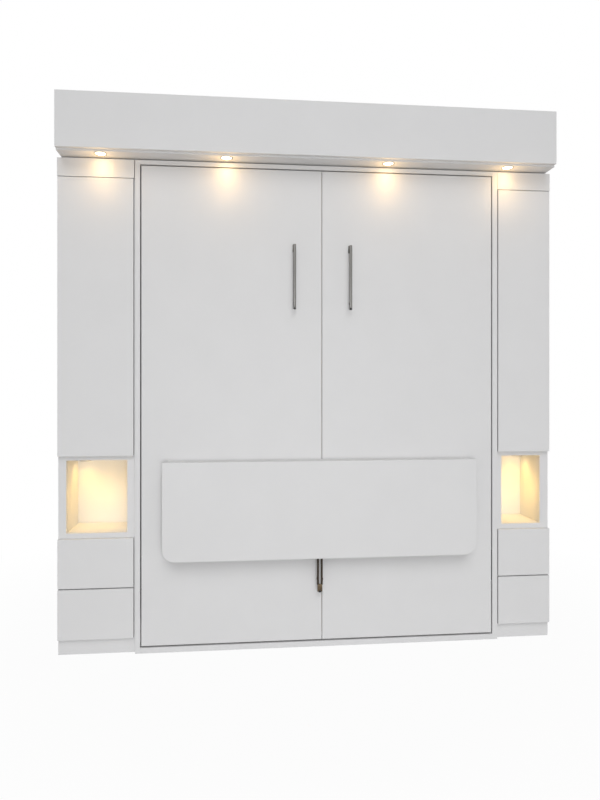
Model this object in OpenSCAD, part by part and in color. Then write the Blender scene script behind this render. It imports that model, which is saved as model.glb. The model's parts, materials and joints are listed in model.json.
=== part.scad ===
// Wall bed with a fold-down desk, between two pier cabinets and under a light bridge.
// Millimetres. Z is up, the front faces -Y, the floor is Z = 0 and the wall is at back_y.

/* [Cabinets] */
// Outer width of the bed cabinet in the middle
bed_cabinet_w = 1660; // [1650:5:1700]
// Outer width of the left pier cabinet
left_pier_w = 330; // [320:5:420]
// Outer width of the right pier cabinet
right_pier_w = 255; // [250:5:420]
// Height of the cabinets, floor to light bridge
cabinet_h = 2185; // [2185:1:2215]
// Depth of the cabinets, front faces to wall
cabinet_d = 445; // [445:5:500]
// Thickness of the bed cabinet's boards
board_t = 25; // [22:1:26]
// Thickness of doors, drawer fronts, bed face and face frames
front_t = 19; // [18:1:19]
// Thickness of the pier cabinets' boards
pier_board_t = 18; // [16:1:18]

/* [Light bridge] */
// Height of the light bridge
bridge_h = 247; // [200:1:260]
// How far the bridge stands out in front of the cabinets
bridge_out = 92; // [85:1:140]
// Thickness of the bridge's boards
bridge_t = 20; // [18:1:22]
// How far the bridge's ends stand in from the piers' outer sides
bridge_end = 15; // [0:1:20]
// How far the fascia stops above the underside of the soffit
fascia_lift = 8; // [0:1:12]
// Places of the four downlights, from the middle of the unit
lamp_x = [-928, -388, 338, 896];

/* [Pier levels] */
// Top of the toe kick
kick_top = 67; // [60:1:80]
// Line between the two drawer fronts
drawer_line = 292; // [285:1:300]
// Top of the upper drawer front
drawer_top = 513; // [505:1:515]
// Bottom of the niche opening
niche_low = 533; // [530:1:540]
// Top of the niche opening
niche_high = 853; // [800:1:855]
// Bottom of the upper door
door_low = 872; // [870:1:880]
// Top of the upper door
door_top = 2097; // [2080:1:2100]
// Depth of the niche behind the face frame's front
niche_d = 205; // [200:5:300]
// Width of the face frame's stiles on the left pier, outer then inner
left_stiles = [34, 34];
// Width of the face frame's stiles on the right pier, inner then outer
right_stiles = [28, 40];

/* [Bed] */
// How far the seam of the bed face stands to the right of the bed's middle
seam_off = 4; // [-5:1:5]
// Dark gap all round the bed face
reveal = 6; // [6:1:8]
// Height of the bed's pivot above the floor
pivot_h = 345; // [345:1:348]
// Depth of the bed's pivot behind the bed face's front
pivot_set = 50; // [48:1:52]
// Width of the mattress
mattress_w = 1524; // [1500:1:1526]
// Length of the mattress
mattress_l = 2032; // [1980:1:2032]
// Thickness of the mattress
mattress_t = 220; // [180:5:220]

/* [Legs used as pulls] */
// Distance of each leg from the seam of the bed face
leg_off = 127; // [100:1:300]
// Height of the legs' pins with the bed closed
leg_pin_h = 1802; // [1790:1:1810]
// Width of a leg bar
leg_w = 12.5; // [12.5:0.5:16]

/* [Desk] */
// Width of the desk leaf
desk_w = 1403; // [1300:1:1420]
// Height of the desk leaf's top edge above the floor
desk_top = 850; // [840:1:855]
// Height of the leaf as it hangs
desk_drop = 432; // [420:1:450]
// Thickness of the leaf
desk_t = 25; // [22:1:26]
// How far the leaf's front stands out from the bed face
desk_proud = 75; // [74:1:76]
// Corner radius at the leaf's free edge
desk_corner = 55; // [30:1:80]
// Sideways place of the brace from the seam
brace_off = -14; // [-20:1:20]

/* [Hidden] */
$fn = 48;
gap = 3;
bed_side_gap = 4;
drawer_gap = 5;
total_w = left_pier_w + bed_cabinet_w + right_pier_w;
unit_x = [-total_w / 2, total_w / 2];
bed_x = [unit_x[0] + left_pier_w, unit_x[1] - right_pier_w];
bed_in = [bed_x[0] + board_t, bed_x[1] - board_t];
bed_mid = (bed_x[0] + bed_x[1]) / 2;
seam_x = bed_mid + seam_off;
bridge_x = [unit_x[0] + bridge_end, unit_x[1] - bridge_end];
back_y = (cabinet_d + bridge_out) / 2;
front_y = back_y - cabinet_d;
bridge_y = front_y - bridge_out;
total_h = cabinet_h + bridge_h;
shadow_gap = 6;
shadow_gap_d = 20;
groove_left = [bed_x[0] - 1, bed_x[0] + 3];
groove_right = [bed_x[1] - 1, bed_x[1] + 1];

// Bed cabinet
back_t = 16;
bottom_rail_d = 60;
wall_screw_r = 3.5;
wall_screw_pitch = [812.8, 1400];
wall_screw_mid = 1240;

// Piers: the carcass stands behind a face frame, and the doors lie over the frame
overlay_gap = 1;
frame_y = front_y + front_t + overlay_gap;
carcass_y = frame_y + front_t;
pier_back_t = 6;
frame_rail = 28;
niche_rail_low = 40;
niche_rail_high = 40;
frame_top_rail = 118;
lining_t = 9;
lining_clear = 2;
shelf_low = 1285;
shelf_high = 1676;
shelf_set = 22;

// Lights
lamp_hole_r = 25.8;
lamp_body_r = 25.5;
lamp_lens_r = 22.5;
lamp_flange_r = 28;
lamp_flange_t = 3;
lamp_body_h = 18;
lens_t = 5;
lamp_out = 44;
lamp_y = front_y - lamp_out;
puck_r = 30;
puck_h = 18;
puck_lens_r = 25;
puck_side = 48;
puck_y = frame_y + 145;

// Doors and drawers
door_edge = gap / 2;
cup_r = 17.5;
cup_depth = 12;
cup_over_stile = 10;
cup_plate = [24, 62, 0.7];
hinge_fit = 0.2;
hinge_levels = [990, 1484, 1980];
arm_size = [14, 46, 12];
arm_foot = [3, 50];
arm_set = 0.5;
box_side_t = 12;
box_bottom_t = 8;
box_h = 140;
box_d = 350;
box_slack = 13.5;
runner_h = 45;
runner_up = 40;
runner_set = 2;
runner_web = 4;
runner_lip = 3;
runner_l = 300;
runner_fit = 0.5;
box_lift = 15;

// Bed frame behind the bed face
face_bottom = board_t + reveal + 2;
face_top = cabinet_h - board_t - reveal;
face_x = [bed_in[0] + reveal, bed_in[1] - reveal];
seam = 3;
rail_d = 60;
rail_y = [front_y + front_t, front_y + front_t + rail_d];
rail_w = 40;
frame_half = 765;
frame_low = 60;
frame_high = 2135;
cross_desk = desk_top - 55;
cross_leg = leg_pin_h - rail_w / 2;
slat_t = 12;
slat_w = 70;
slat_l = 1510;
slat_count = 14;
slat_pitch = 145;
slat_first = 125;
strap_w = 40;
strap_t = 2;
strap_fit = 0.3;
strap_levels = [640, 1560];
mattress_low = 100;
mattress_corner = 60;
mattress_y = rail_y[1] + slat_t + strap_fit;

// Pivot
pivot_y = front_y + pivot_set;
stud_r = 10;
stud_plate = [3, 120, 140];
stud_plate_front = 45;
bush_bore_r = 10.05;
bush_r = 14.95;
bush_seat_r = 15;
bush_flange = [19, 3];
bolt_r = 6.5;
bolt_h = 2;
bolt_y = [-30, 60];
bolt_z = 50;

// Lift struts, in the gap beside the bed frame
strut_x = 20;
anchor_back = 100;
anchor_up = 400;
tail_down = 200;
strut_lean = -atan2(anchor_back, anchor_up + tail_down);
strut_l = norm([anchor_back, anchor_up + tail_down]);
tube_r = 11;
tube_bore_r = 9;
tube_from = 12;
tube_to = 330;
guide_l = 8;
rod_r = 5;
rod_bore_r = 5.06;
piston_l = 12;
piston_r = 8.9;
piston_at = 302;
eye_r = 10;
eye_half = 5;
anchor_pin_r = 4;
anchor_bore_r = 4.05;
pin_past = 1;
anchor_plate = [4, 44, 70];
rod_eye_r = 9;
rod_foot_fit = 0.6;

// Legs
leg_d = 10;
leg_front = front_y - 38;
leg_pin_y = front_y - 16;
leg_above = 13;
leg_reach = pivot_h - pivot_set - (front_y - leg_pin_y) - 1;
leg_foot_l = 7;
leg_lug_w = 5;
leg_lug_r = 7;
leg_pin_r = 3;
leg_bore_r = 3.05;
ear_w = 2.8;
ear_fit = 0.25;
leg_plate_h = 34;
leg_plate_t = 2;
leg_post_r = 4;
leg_post_up = 24;
leg_post_gap = 0.5;

// Desk
leaf_y = [front_y - desk_proud, front_y - desk_proud + desk_t];
ledge_inset = 20;
ledge_h = 50;
desk_gap = 3;
ledge_y = leaf_y[1] + desk_gap;
desk_pin_y = leaf_y[1] + desk_gap / 2;
desk_pin_z = desk_top - 4;
rebate_w = 5;
rebate_h = 8;
piano_l = 1300;
piano_knuckles = 26;
knuckle_r = 3.5;
knuckle_bore_r = 1.55;
desk_pin_r = 1.5;
knuckle_fit = 0.4;
piano_leaf_t = 1.2;
piano_leaf_h = 28;

// Brace under the desk: twin bars that hang from the leaf
brace_x = seam_x + brace_off;
brace_arm_r = 190;
brace_pin_y = front_y - 36;
brace_pin_z = desk_pin_z - brace_arm_r;
brace_bar = [9, 8];
brace_gap = 8;
brace_half = brace_gap / 2 + brace_bar[0];
brace_tip_z = 262;
brace_tip_r = 5;
brace_tip_w = 10;
brace_tip_fit = 0.1;
brace_tip_set = 1;
brace_block = [22, 8, 34];
brace_boss_z = 318;
brace_boss_r = 6;
brace_boss_t = 1.2;
brace_pin_r = 4;
brace_bore_r = 4.05;
brace_lug_w = 7.4;
brace_plate = [40, 4, 50];
brace_rest_w = 40;
brace_rest_slot = 28;
brace_rest_low = 468;
brace_rest_high = 526;
brace_rest_d = 24;
brace_ramp_top = 516;
brace_ramp_low = 18;
brace_ramp_high = 1.6;

white = [0.86, 0.86, 0.86];
birch = [0.78, 0.68, 0.52];
zinc = [0.62, 0.62, 0.64];
nickel = [0.42, 0.42, 0.41];
bronze = [0.33, 0.27, 0.20];
ticking = [0.90, 0.89, 0.86];
webbing = [0.20, 0.20, 0.22];
rubber = [0.10, 0.10, 0.10];
lamp_glow = [1.0, 0.86, 0.62];

// A block between two bounds on each axis
module span(x, y, z) {
    translate([x[0], y[0], z[0]])
        cube([x[1] - x[0], y[1] - y[0], z[1] - z[0]]);
}

// A rod along X between two bounds
module rod_x(x, y, z, r) {
    translate([x[0], y, z])
        rotate([0, 90, 0])
            cylinder(h = x[1] - x[0], r = r);
}

// A rod along Y between two bounds
module rod_y(x, y, z, r) {
    translate([x, y[0], z])
        rotate([-90, 0, 0])
            cylinder(h = y[1] - y[0], r = r);
}

// A plate that faces front, drawn as an outline in X and Z
module plate_y(y) {
    translate([0, y[1], 0])
        rotate([90, 0, 0])
            linear_extrude(height = y[1] - y[0])
                children();
}

// Bounds in X of something on the left (-1) or right (1) of the bed, measured out from the seam
function side_x(side, from, to) = side < 0
    ? [bed_mid - to, bed_mid - from]
    : [bed_mid + from, bed_mid + to];

// ---- Bed cabinet ----

// What is cut away along the top front edges, so that a dark line shows under the bridge
module shadow_line() {
    span(
        [unit_x[0] - 1, unit_x[1] + 1], [front_y - 1, front_y + shadow_gap_d],
        [cabinet_h - shadow_gap, cabinet_h + 1]
    );
}

// A side of the bed cabinet, with a groove down its outer front edge that darkens the joint to the pier
module bed_side(x, groove_x) {
    color(white)
        difference() {
            span([x, x + board_t], [front_y, back_y], [0, cabinet_h]);
            span(groove_x, [front_y - 1, front_y + shadow_gap_d], [-1, cabinet_h + 1]);
            shadow_line();
        }
}

module bed_top_board() {
    color(white)
        difference() {
            span(bed_in, [front_y, back_y], [cabinet_h - board_t, cabinet_h]);
            shadow_line();
        }
}

module bed_bottom_rail() {
    color(white)
        span(bed_in, [front_y, front_y + bottom_rail_d], [0, board_t]);
}

// The bed cabinet's back has four holes for screws into the wall's studs
module back_panels() {
    color(white) {
        difference() {
            span(bed_in, [back_y - back_t, back_y], [0, cabinet_h - board_t]);
            for (sx = [-0.5, 0.5], sz = [-0.5, 0.5])
                rod_y(
                    bed_mid + sx * wall_screw_pitch[0], [back_y - back_t - 1, back_y + 1],
                    wall_screw_mid + sz * wall_screw_pitch[1], wall_screw_r
                );
        }
        pier_back(unit_x[0], bed_x[0]);
        pier_back(bed_x[1], unit_x[1]);
    }
}

module pier_back(x0, x1) {
    span([x0 + pier_board_t, x1 - pier_board_t], [back_y - pier_back_t, back_y], [kick_top, cabinet_h]);
}

// ---- Pier cabinets ----

module pier_sides(x0, x1) {
    for (x = [x0, x1 - pier_board_t])
        span([x, x + pier_board_t], [carcass_y, back_y], [0, cabinet_h]);
}

module pier_side_panels() {
    color(white) {
        pier_sides(unit_x[0], bed_x[0]);
        pier_sides(bed_x[1], unit_x[1]);
    }
}

// Top board, floor of the door bay, board under the niche, and base board
function board_tops() = [
    cabinet_h, niche_high + niche_rail_high, niche_low - lining_t - lining_clear, kick_top + frame_rail
];

module boards(x0, x1) {
    for (z = board_tops())
        span(
            [x0 + pier_board_t, x1 - pier_board_t],
            [carcass_y, back_y - pier_back_t], [z - pier_board_t, z]
        );
}

module pier_boards() {
    color(white) {
        boards(unit_x[0], bed_x[0]);
        boards(bed_x[1], unit_x[1]);
    }
}

module shelves(x0, x1) {
    for (z = [shelf_low, shelf_high])
        span(
            [x0 + pier_board_t + runner_fit, x1 - pier_board_t - runner_fit],
            [carcass_y + shelf_set, back_y - pier_back_t], [z, z + pier_board_t]
        );
}

module pier_shelves() {
    color(white) {
        shelves(unit_x[0], bed_x[0]);
        shelves(bed_x[1], unit_x[1]);
    }
}

module top_filler(x0, x1) {
    span([x0, x1], [front_y, frame_y], [door_top + gap / 2, cabinet_h - shadow_gap]);
}

module pier_top_fillers() {
    color(white) {
        top_filler(unit_x[0], bed_x[0]);
        top_filler(bed_x[1], unit_x[1]);
    }
}

module plinth(x0, x1) {
    span([x0, x1], [frame_y, carcass_y], [0, kick_top]);
}

module pier_plinths() {
    color(white) {
        plinth(unit_x[0], bed_x[0]);
        plinth(bed_x[1], unit_x[1]);
    }
}

// Heights of the face frame's four openings: lower drawer, upper drawer, niche, door bay
function frame_openings() = [
    [kick_top + frame_rail, drawer_line - frame_rail / 2],
    [drawer_line + frame_rail / 2, niche_low - niche_rail_low],
    [niche_low, niche_high],
    [niche_high + niche_rail_high, cabinet_h - frame_top_rail]
];

module face_frame(x0, x1, stiles) {
    color(white)
        difference() {
            span([x0, x1], [frame_y, carcass_y], [kick_top, cabinet_h]);
            for (z = frame_openings())
                span([x0 + stiles[0], x1 - stiles[1]], [frame_y - 1, carcass_y + 1], z);
        }
}

// A lining glued up from five boards: floor, ceiling, two sides and back
module niche_box(x0, x1, stiles) {
    inner = [x0 + stiles[0], x1 - stiles[1]];
    inner_back = frame_y + niche_d;
    color(white)
        difference() {
            span(
                [inner[0] - lining_t, inner[1] + lining_t], [carcass_y, inner_back + lining_t],
                [niche_low - lining_t, niche_high + lining_t]
            );
            span(inner, [carcass_y - 1, inner_back], [niche_low, niche_high]);
        }
}

// ---- Light bridge ----

module bridge_fascia() {
    color(white)
        span(bridge_x, [bridge_y, bridge_y + bridge_t], [cabinet_h + fascia_lift, total_h]);
}

module bridge_soffit() {
    color(white)
        difference() {
            span(
                [bridge_x[0] + bridge_t, bridge_x[1] - bridge_t], [bridge_y + bridge_t, back_y],
                [cabinet_h, cabinet_h + bridge_t]
            );
            for (x = lamp_x)
                translate([x, lamp_y, cabinet_h - 1])
                    cylinder(h = bridge_t + 2, r = lamp_hole_r);
        }
}

module bridge_top_and_ends() {
    color(white) {
        for (x = [bridge_x[0], bridge_x[1] - bridge_t])
            span([x, x + bridge_t], [bridge_y + bridge_t, back_y], [cabinet_h, total_h]);
        span(
            [bridge_x[0] + bridge_t, bridge_x[1] - bridge_t], [bridge_y + bridge_t, back_y],
            [total_h - bridge_t, total_h]
        );
    }
}

// Middle of each niche's lamp, near the niche's outer side: left pier, then right pier
function puck_x() = [
    unit_x[0] + left_stiles[0] + puck_side,
    unit_x[1] - right_stiles[1] - puck_side
];

module light_rings() {
    color(nickel) {
        for (x = lamp_x)
            translate([x, lamp_y, cabinet_h])
                difference() {
                    union() {
                        translate([0, 0, -lamp_flange_t])
                            cylinder(h = lamp_flange_t, r = lamp_flange_r);
                        cylinder(h = lamp_body_h, r = lamp_body_r);
                    }
                    translate([0, 0, -lamp_flange_t - 1])
                        cylinder(h = lamp_body_h + lamp_flange_t + 2, r = lamp_lens_r);
                }
        for (x = puck_x())
            translate([x, puck_y, niche_high - puck_h])
                difference() {
                    cylinder(h = puck_h, r = puck_r);
                    translate([0, 0, -1])
                        cylinder(h = puck_h, r = puck_lens_r);
                }
    }
}

module light_lenses() {
    color(lamp_glow) {
        for (x = lamp_x)
            translate([x, lamp_y, cabinet_h - lamp_flange_t + 1])
                cylinder(h = lens_t, r = lamp_lens_r);
        for (x = puck_x())
            translate([x, puck_y, niche_high - puck_h + 1])
                cylinder(h = lens_t, r = puck_lens_r);
    }
}

// ---- Doors: hung on their outer edges, on cup hinges ----

// Bounds in X of a pier's doors and drawer fronts: a wider gap beside the bed than outside
function fronts_x(x0, x1) = x0 < bed_mid
    ? [x0 + door_edge, x1 - bed_side_gap]
    : [x0 + bed_side_gap, x1 - door_edge];

// A slab with three blind bores in its back for the hinge cups
module door(x0, x1, cup_x) {
    color(white)
        difference() {
            span(
                fronts_x(x0, x1), [front_y, front_y + front_t],
                [door_low + gap / 2, door_top - gap / 2]
            );
            for (z = hinge_levels)
                rod_y(cup_x, [front_y + front_t - cup_depth, front_y + front_t + 1], z, cup_r + hinge_fit);
        }
}

module hinge_cups(cup_x) {
    color(zinc)
        for (z = hinge_levels) {
            rod_y(cup_x, [front_y + front_t - cup_depth, front_y + front_t], z, cup_r);
            translate([cup_x - cup_plate[0] / 2, front_y + front_t, z - cup_plate[1] / 2])
                cube([cup_plate[0], cup_plate[2], cup_plate[1]]);
        }
}

left_cup_x = unit_x[0] + left_stiles[0] + cup_over_stile;
right_cup_x = unit_x[1] - right_stiles[1] - cup_over_stile;

// Each arm is fixed to the edge of the face frame's stile and reaches into the opening
module hinge_arm(edge_x, dir) {
    foot_x = dir > 0 ? edge_x : edge_x - arm_foot[0];
    arm_x = dir > 0 ? edge_x + arm_foot[0] : edge_x - arm_foot[0] - arm_size[0];
    for (z = hinge_levels) {
        translate([foot_x, frame_y, z - arm_foot[1] / 2])
            cube([arm_foot[0], front_t, arm_foot[1]]);
        translate([arm_x, frame_y + arm_set, z - arm_size[2] / 2])
            cube(arm_size);
    }
}

module door_hinge_arms() {
    color(zinc) {
        hinge_arm(unit_x[0] + left_stiles[0], 1);
        hinge_arm(unit_x[1] - right_stiles[1], -1);
    }
}

// ---- Drawers ----

module drawer_front(x0, x1, z) {
    color(white)
        span(fronts_x(x0, x1), [front_y, front_y + front_t], [z[0] + drawer_gap / 2, z[1] - drawer_gap / 2]);
}

function drawer_box_x(x0, x1, stiles) = [x0 + stiles[0] + box_slack, x1 - stiles[1] - box_slack];

// An open box on a sub-front, from the back of the drawer front
module drawer_box(x, z_low) {
    y = [front_y + front_t, front_y + front_t + box_d];
    color(birch)
        difference() {
            span(x, y, [z_low, z_low + box_h]);
            span(
                [x[0] + box_side_t, x[1] - box_side_t], [y[0] + box_side_t, y[1] - box_side_t],
                [z_low + box_bottom_t, z_low + box_h + 1]
            );
        }
}

lower_front = [kick_top, drawer_line];
upper_front = [drawer_line, drawer_top];
lower_box_z = frame_openings()[0][0] + box_lift;
upper_box_z = frame_openings()[1][0] + box_lift;

// A channel beside each drawer box, screwed to the pier's side panel
module runner(x, open_right, z) {
    y = [carcass_y + runner_set, carcass_y + runner_set + runner_l];
    difference() {
        span(x, y, [z, z + runner_h]);
        span(
            open_right ? [x[0] + runner_web, x[1] + 1] : [x[0] - 1, x[1] - runner_web],
            [y[0] - 1, y[1] + 1], [z + runner_lip, z + runner_h - runner_lip]
        );
    }
}

module pier_runners(x0, x1, stiles) {
    box = drawer_box_x(x0, x1, stiles);
    for (z = [lower_box_z, upper_box_z]) {
        runner([x0 + pier_board_t, box[0] - runner_fit], true, z + runner_up);
        runner([box[1] + runner_fit, x1 - pier_board_t], false, z + runner_up);
    }
}

module drawer_runners() {
    color(zinc) {
        pier_runners(unit_x[0], bed_x[0], left_stiles);
        pier_runners(bed_x[1], unit_x[1], right_stiles);
    }
}

// ---- Bed: face, frame, slats and mattress ----

module bed_face(x) {
    color(white)
        span(x, [front_y, front_y + front_t], [face_bottom, face_top]);
}

// A jointed frame of laminated rails with two cross rails, bored for the pivot bushes
module bed_frame() {
    long_rails = [
        [bed_mid - frame_half, bed_mid - frame_half + rail_w],
        [bed_mid - rail_w / 2, bed_mid + rail_w / 2],
        [bed_mid + frame_half - rail_w, bed_mid + frame_half]
    ];
    color(birch)
        difference() {
            union() {
                for (x = long_rails)
                    span(x, rail_y, [frame_low, frame_high]);
                for (z = [frame_low, cross_desk, cross_leg, frame_high - rail_w])
                    span([bed_mid - frame_half, bed_mid + frame_half], rail_y, [z, z + rail_w]);
            }
            for (side = [-1, 1])
                rod_x(
                    side_x(side, frame_half - rail_w - 1, frame_half + 1),
                    pivot_y, pivot_h, bush_seat_r
                );
        }
}

module bed_slats() {
    color(birch)
        for (i = [0 : slat_count - 1])
            span(
                [bed_mid - slat_l / 2, bed_mid + slat_l / 2], [rail_y[1], rail_y[1] + slat_t],
                [slat_first + i * slat_pitch, slat_first + i * slat_pitch + slat_w]
            );
}

// Outline with four round corners, in the plane of the bed face
module rounded_outline(w, h, r) {
    union() {
        translate([r, 0])
            square([w - 2 * r, h]);
        translate([0, r])
            square([w, h - 2 * r]);
        for (x = [r, w - r], z = [r, h - r])
            translate([x, z])
                circle(r = r);
    }
}

module mattress() {
    color(ticking)
        plate_y([mattress_y, mattress_y + mattress_t])
            translate([bed_mid - mattress_w / 2, mattress_low])
                rounded_outline(mattress_w, mattress_l, mattress_corner);
}

// Webbing over the mattress, down both its sides to the frame
module mattress_straps() {
    inner = mattress_w / 2 + strap_fit;
    over = mattress_y + mattress_t + strap_fit;
    color(webbing)
        for (z = strap_levels)
            difference() {
                span(
                    [bed_mid - inner - strap_t, bed_mid + inner + strap_t],
                    [rail_y[1], over + strap_t], [z, z + strap_w]
                );
                span([bed_mid - inner, bed_mid + inner], [rail_y[1] - 1, over], [z - 1, z + strap_w + 1]);
            }
}

// ---- Bed pivot ----

module pivot_studs() {
    color(zinc)
        for (side = [-1, 1]) {
            inner_side = bed_cabinet_w / 2 - board_t;
            span(
                side_x(side, inner_side - stud_plate[0], inner_side),
                [pivot_y - stud_plate_front, pivot_y - stud_plate_front + stud_plate[1]],
                [pivot_h - stud_plate[2] / 2, pivot_h + stud_plate[2] / 2]
            );
            rod_x(
                side_x(side, frame_half - rail_w - pin_past, inner_side - stud_plate[0]),
                pivot_y, pivot_h, stud_r
            );
            for (sy = bolt_y, sz = [-bolt_z, bolt_z])
                rod_x(
                    side_x(side, inner_side - stud_plate[0] - bolt_h, inner_side - stud_plate[0]),
                    pivot_y + sy, pivot_h + sz, bolt_r
                );
        }
}

module pivot_bushes() {
    color(rubber)
        for (side = [-1, 1])
            difference() {
                union() {
                    rod_x(side_x(side, frame_half - rail_w, frame_half), pivot_y, pivot_h, bush_r);
                    rod_x(
                        side_x(side, frame_half, frame_half + bush_flange[1]),
                        pivot_y, pivot_h, bush_flange[0]
                    );
                }
                rod_x(
                    side_x(side, frame_half - rail_w - 1, frame_half + bush_flange[1] + 1),
                    pivot_y, pivot_h, bush_bore_r
                );
            }
}

// ---- Lift struts ----

strut_mid = bed_cabinet_w / 2 - board_t - strut_x;
anchor_y = pivot_y + anchor_back;
anchor_z = pivot_h + anchor_up;

module strut_anchors() {
    inner_side = bed_cabinet_w / 2 - board_t;
    color(zinc)
        for (side = [-1, 1]) {
            span(
                side_x(side, inner_side - anchor_plate[0], inner_side),
                [anchor_y - anchor_plate[1] / 2, anchor_y + anchor_plate[1] / 2],
                [anchor_z - anchor_plate[2] / 2, anchor_z + anchor_plate[2] / 2]
            );
            rod_x(
                side_x(side, strut_mid - eye_half - pin_past, inner_side - anchor_plate[0]),
                anchor_y, anchor_z, anchor_pin_r
            );
        }
}

// Puts a strut piece, drawn hanging down from the origin, at the anchor with its lean
module at_anchor(side) {
    translate([bed_mid + side * strut_mid, anchor_y, anchor_z])
        rotate([strut_lean, 0, 0])
            children();
}

module strut_tube(side) {
    color(rubber)
        at_anchor(side)
            difference() {
                union() {
                    rod_x([-eye_half, eye_half], 0, 0, eye_r);
                    translate([0, 0, -tube_to])
                        cylinder(h = tube_to - tube_from, r = tube_r);
                    translate([0, 0, -tube_from - 1])
                        cylinder(h = tube_from + 1, r = eye_half);
                }
                rod_x([-tube_r, tube_r], 0, 0, anchor_bore_r);
                translate([0, 0, -tube_to + guide_l])
                    cylinder(h = tube_to - guide_l - 2 * tube_from, r = tube_bore_r);
                translate([0, 0, -tube_to - 1])
                    cylinder(h = guide_l + 2, r = rod_bore_r);
            }
}

// The rod's foot is a ball stud whose end stands just clear of the bed frame
module strut_rod(side) {
    foot_x = side < 0
        ? [-eye_half, strut_mid - frame_half - rod_foot_fit]
        : [frame_half + rod_foot_fit - strut_mid, eye_half];
    color(zinc)
        at_anchor(side) {
            translate([0, 0, -strut_l])
                cylinder(h = strut_l - piston_at, r = rod_r);
            translate([0, 0, -piston_at - piston_l])
                cylinder(h = piston_l, r = piston_r);
            rod_x(foot_x, 0, -strut_l, rod_eye_r);
        }
}

// ---- Legs: bars that serve as pulls and swing out as legs ----

module leg_bar(side) {
    x = seam_x + side * leg_off;
    color(nickel)
        difference() {
            union() {
                span(
                    [x - leg_w / 2, x + leg_w / 2], [leg_front, leg_front + leg_d],
                    [leg_pin_h - leg_reach + leg_foot_l, leg_pin_h + leg_above]
                );
                rod_x([x - leg_lug_w / 2, x + leg_lug_w / 2], leg_pin_y, leg_pin_h, leg_lug_r);
                span(
                    [x - leg_lug_w / 2, x + leg_lug_w / 2], [leg_front + leg_d - 1, leg_pin_y],
                    [leg_pin_h - leg_lug_r, leg_pin_h + leg_lug_r]
                );
                rod_y(
                    x, [leg_front + leg_d - 1, front_y - leg_post_gap],
                    leg_pin_h - leg_reach + leg_foot_l + leg_post_up, leg_post_r
                );
            }
            rod_x([x - leg_w, x + leg_w], leg_pin_y, leg_pin_h, leg_bore_r);
        }
}

module leg_foot(side) {
    x = seam_x + side * leg_off;
    color(rubber)
        span(
            [x - leg_w / 2, x + leg_w / 2], [leg_front, leg_front + leg_d],
            [leg_pin_h - leg_reach, leg_pin_h - leg_reach + leg_foot_l]
        );
}

module leg_brackets() {
    color(nickel)
        for (side = [-1, 1]) {
            x = seam_x + side * leg_off;
            ear = leg_lug_w / 2 + ear_fit;
            span(
                [x - leg_w / 2, x + leg_w / 2], [front_y - leg_plate_t, front_y],
                [leg_pin_h - leg_plate_h / 2, leg_pin_h + leg_plate_h / 2]
            );
            for (ear_x = [x - ear - ear_w, x + ear]) {
                span(
                    [ear_x, ear_x + ear_w], [leg_pin_y, front_y - 1],
                    [leg_pin_h - leg_lug_r, leg_pin_h + leg_lug_r]
                );
                rod_x([ear_x, ear_x + ear_w], leg_pin_y, leg_pin_h, leg_lug_r);
            }
            rod_x([x - ear - ear_w, x + ear + ear_w], leg_pin_y, leg_pin_h, leg_pin_r);
        }
}

// ---- Desk ----

module desk_ledge() {
    color(white)
        difference() {
            span(
                [bed_mid - desk_w / 2 + ledge_inset, bed_mid + desk_w / 2 - ledge_inset],
                [ledge_y, front_y], [desk_top - ledge_h, desk_top]
            );
            span(
                [bed_mid - desk_w, bed_mid + desk_w], [ledge_y - 1, ledge_y + rebate_w],
                [desk_top - rebate_h, desk_top + 1]
            );
        }
}

// Square corners at the hinge, round corners at the free edge
module leaf_outline() {
    translate([bed_mid - desk_w / 2, desk_top - desk_drop])
        union() {
            translate([0, desk_corner])
                square([desk_w, desk_drop - desk_corner]);
            translate([desk_corner, 0])
                square([desk_w - 2 * desk_corner, desk_drop]);
            for (x = [desk_corner, desk_w - desk_corner])
                translate([x, desk_corner])
                    circle(r = desk_corner, $fn = 96);
        }
}

module desk_leaf() {
    color(white)
        difference() {
            plate_y(leaf_y)
                leaf_outline();
            span(
                [bed_mid - desk_w, bed_mid + desk_w], [leaf_y[1] - rebate_w, leaf_y[1] + 1],
                [desk_top - rebate_h, desk_top + 1]
            );
        }
}

knuckle_pitch = piano_l / piano_knuckles;

// One leaf of the piano hinge: a flat strip, and every other knuckle with its tab
module piano_leaf(first, y, tab_y) {
    x0 = bed_mid - piano_l / 2;
    z1 = desk_pin_z - knuckle_r - knuckle_fit;
    color(zinc)
        difference() {
            union() {
                span([x0, x0 + piano_l], y, [z1 - piano_leaf_h, z1]);
                for (i = [first : 2 : piano_knuckles - 1]) {
                    x = [
                        x0 + i * knuckle_pitch + knuckle_fit / 2,
                        x0 + (i + 1) * knuckle_pitch - knuckle_fit / 2
                    ];
                    span(x, y, [z1 - 1, desk_pin_z]);
                    rod_x(x, desk_pin_y, desk_pin_z, knuckle_r);
                }
            }
            rod_x([x0 - 1, x0 + piano_l + 1], desk_pin_y, desk_pin_z, knuckle_bore_r);
        }
}

module desk_hinge_fixed() {
    piano_leaf(0, [ledge_y - piano_leaf_t, ledge_y]);
}

module desk_hinge_moving() {
    piano_leaf(1, [leaf_y[1], leaf_y[1] + piano_leaf_t]);
}

module desk_hinge_pin() {
    color(zinc)
        rod_x([bed_mid - piano_l / 2, bed_mid + piano_l / 2], desk_pin_y, desk_pin_z, desk_pin_r);
}

// ---- Brace ----

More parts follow.
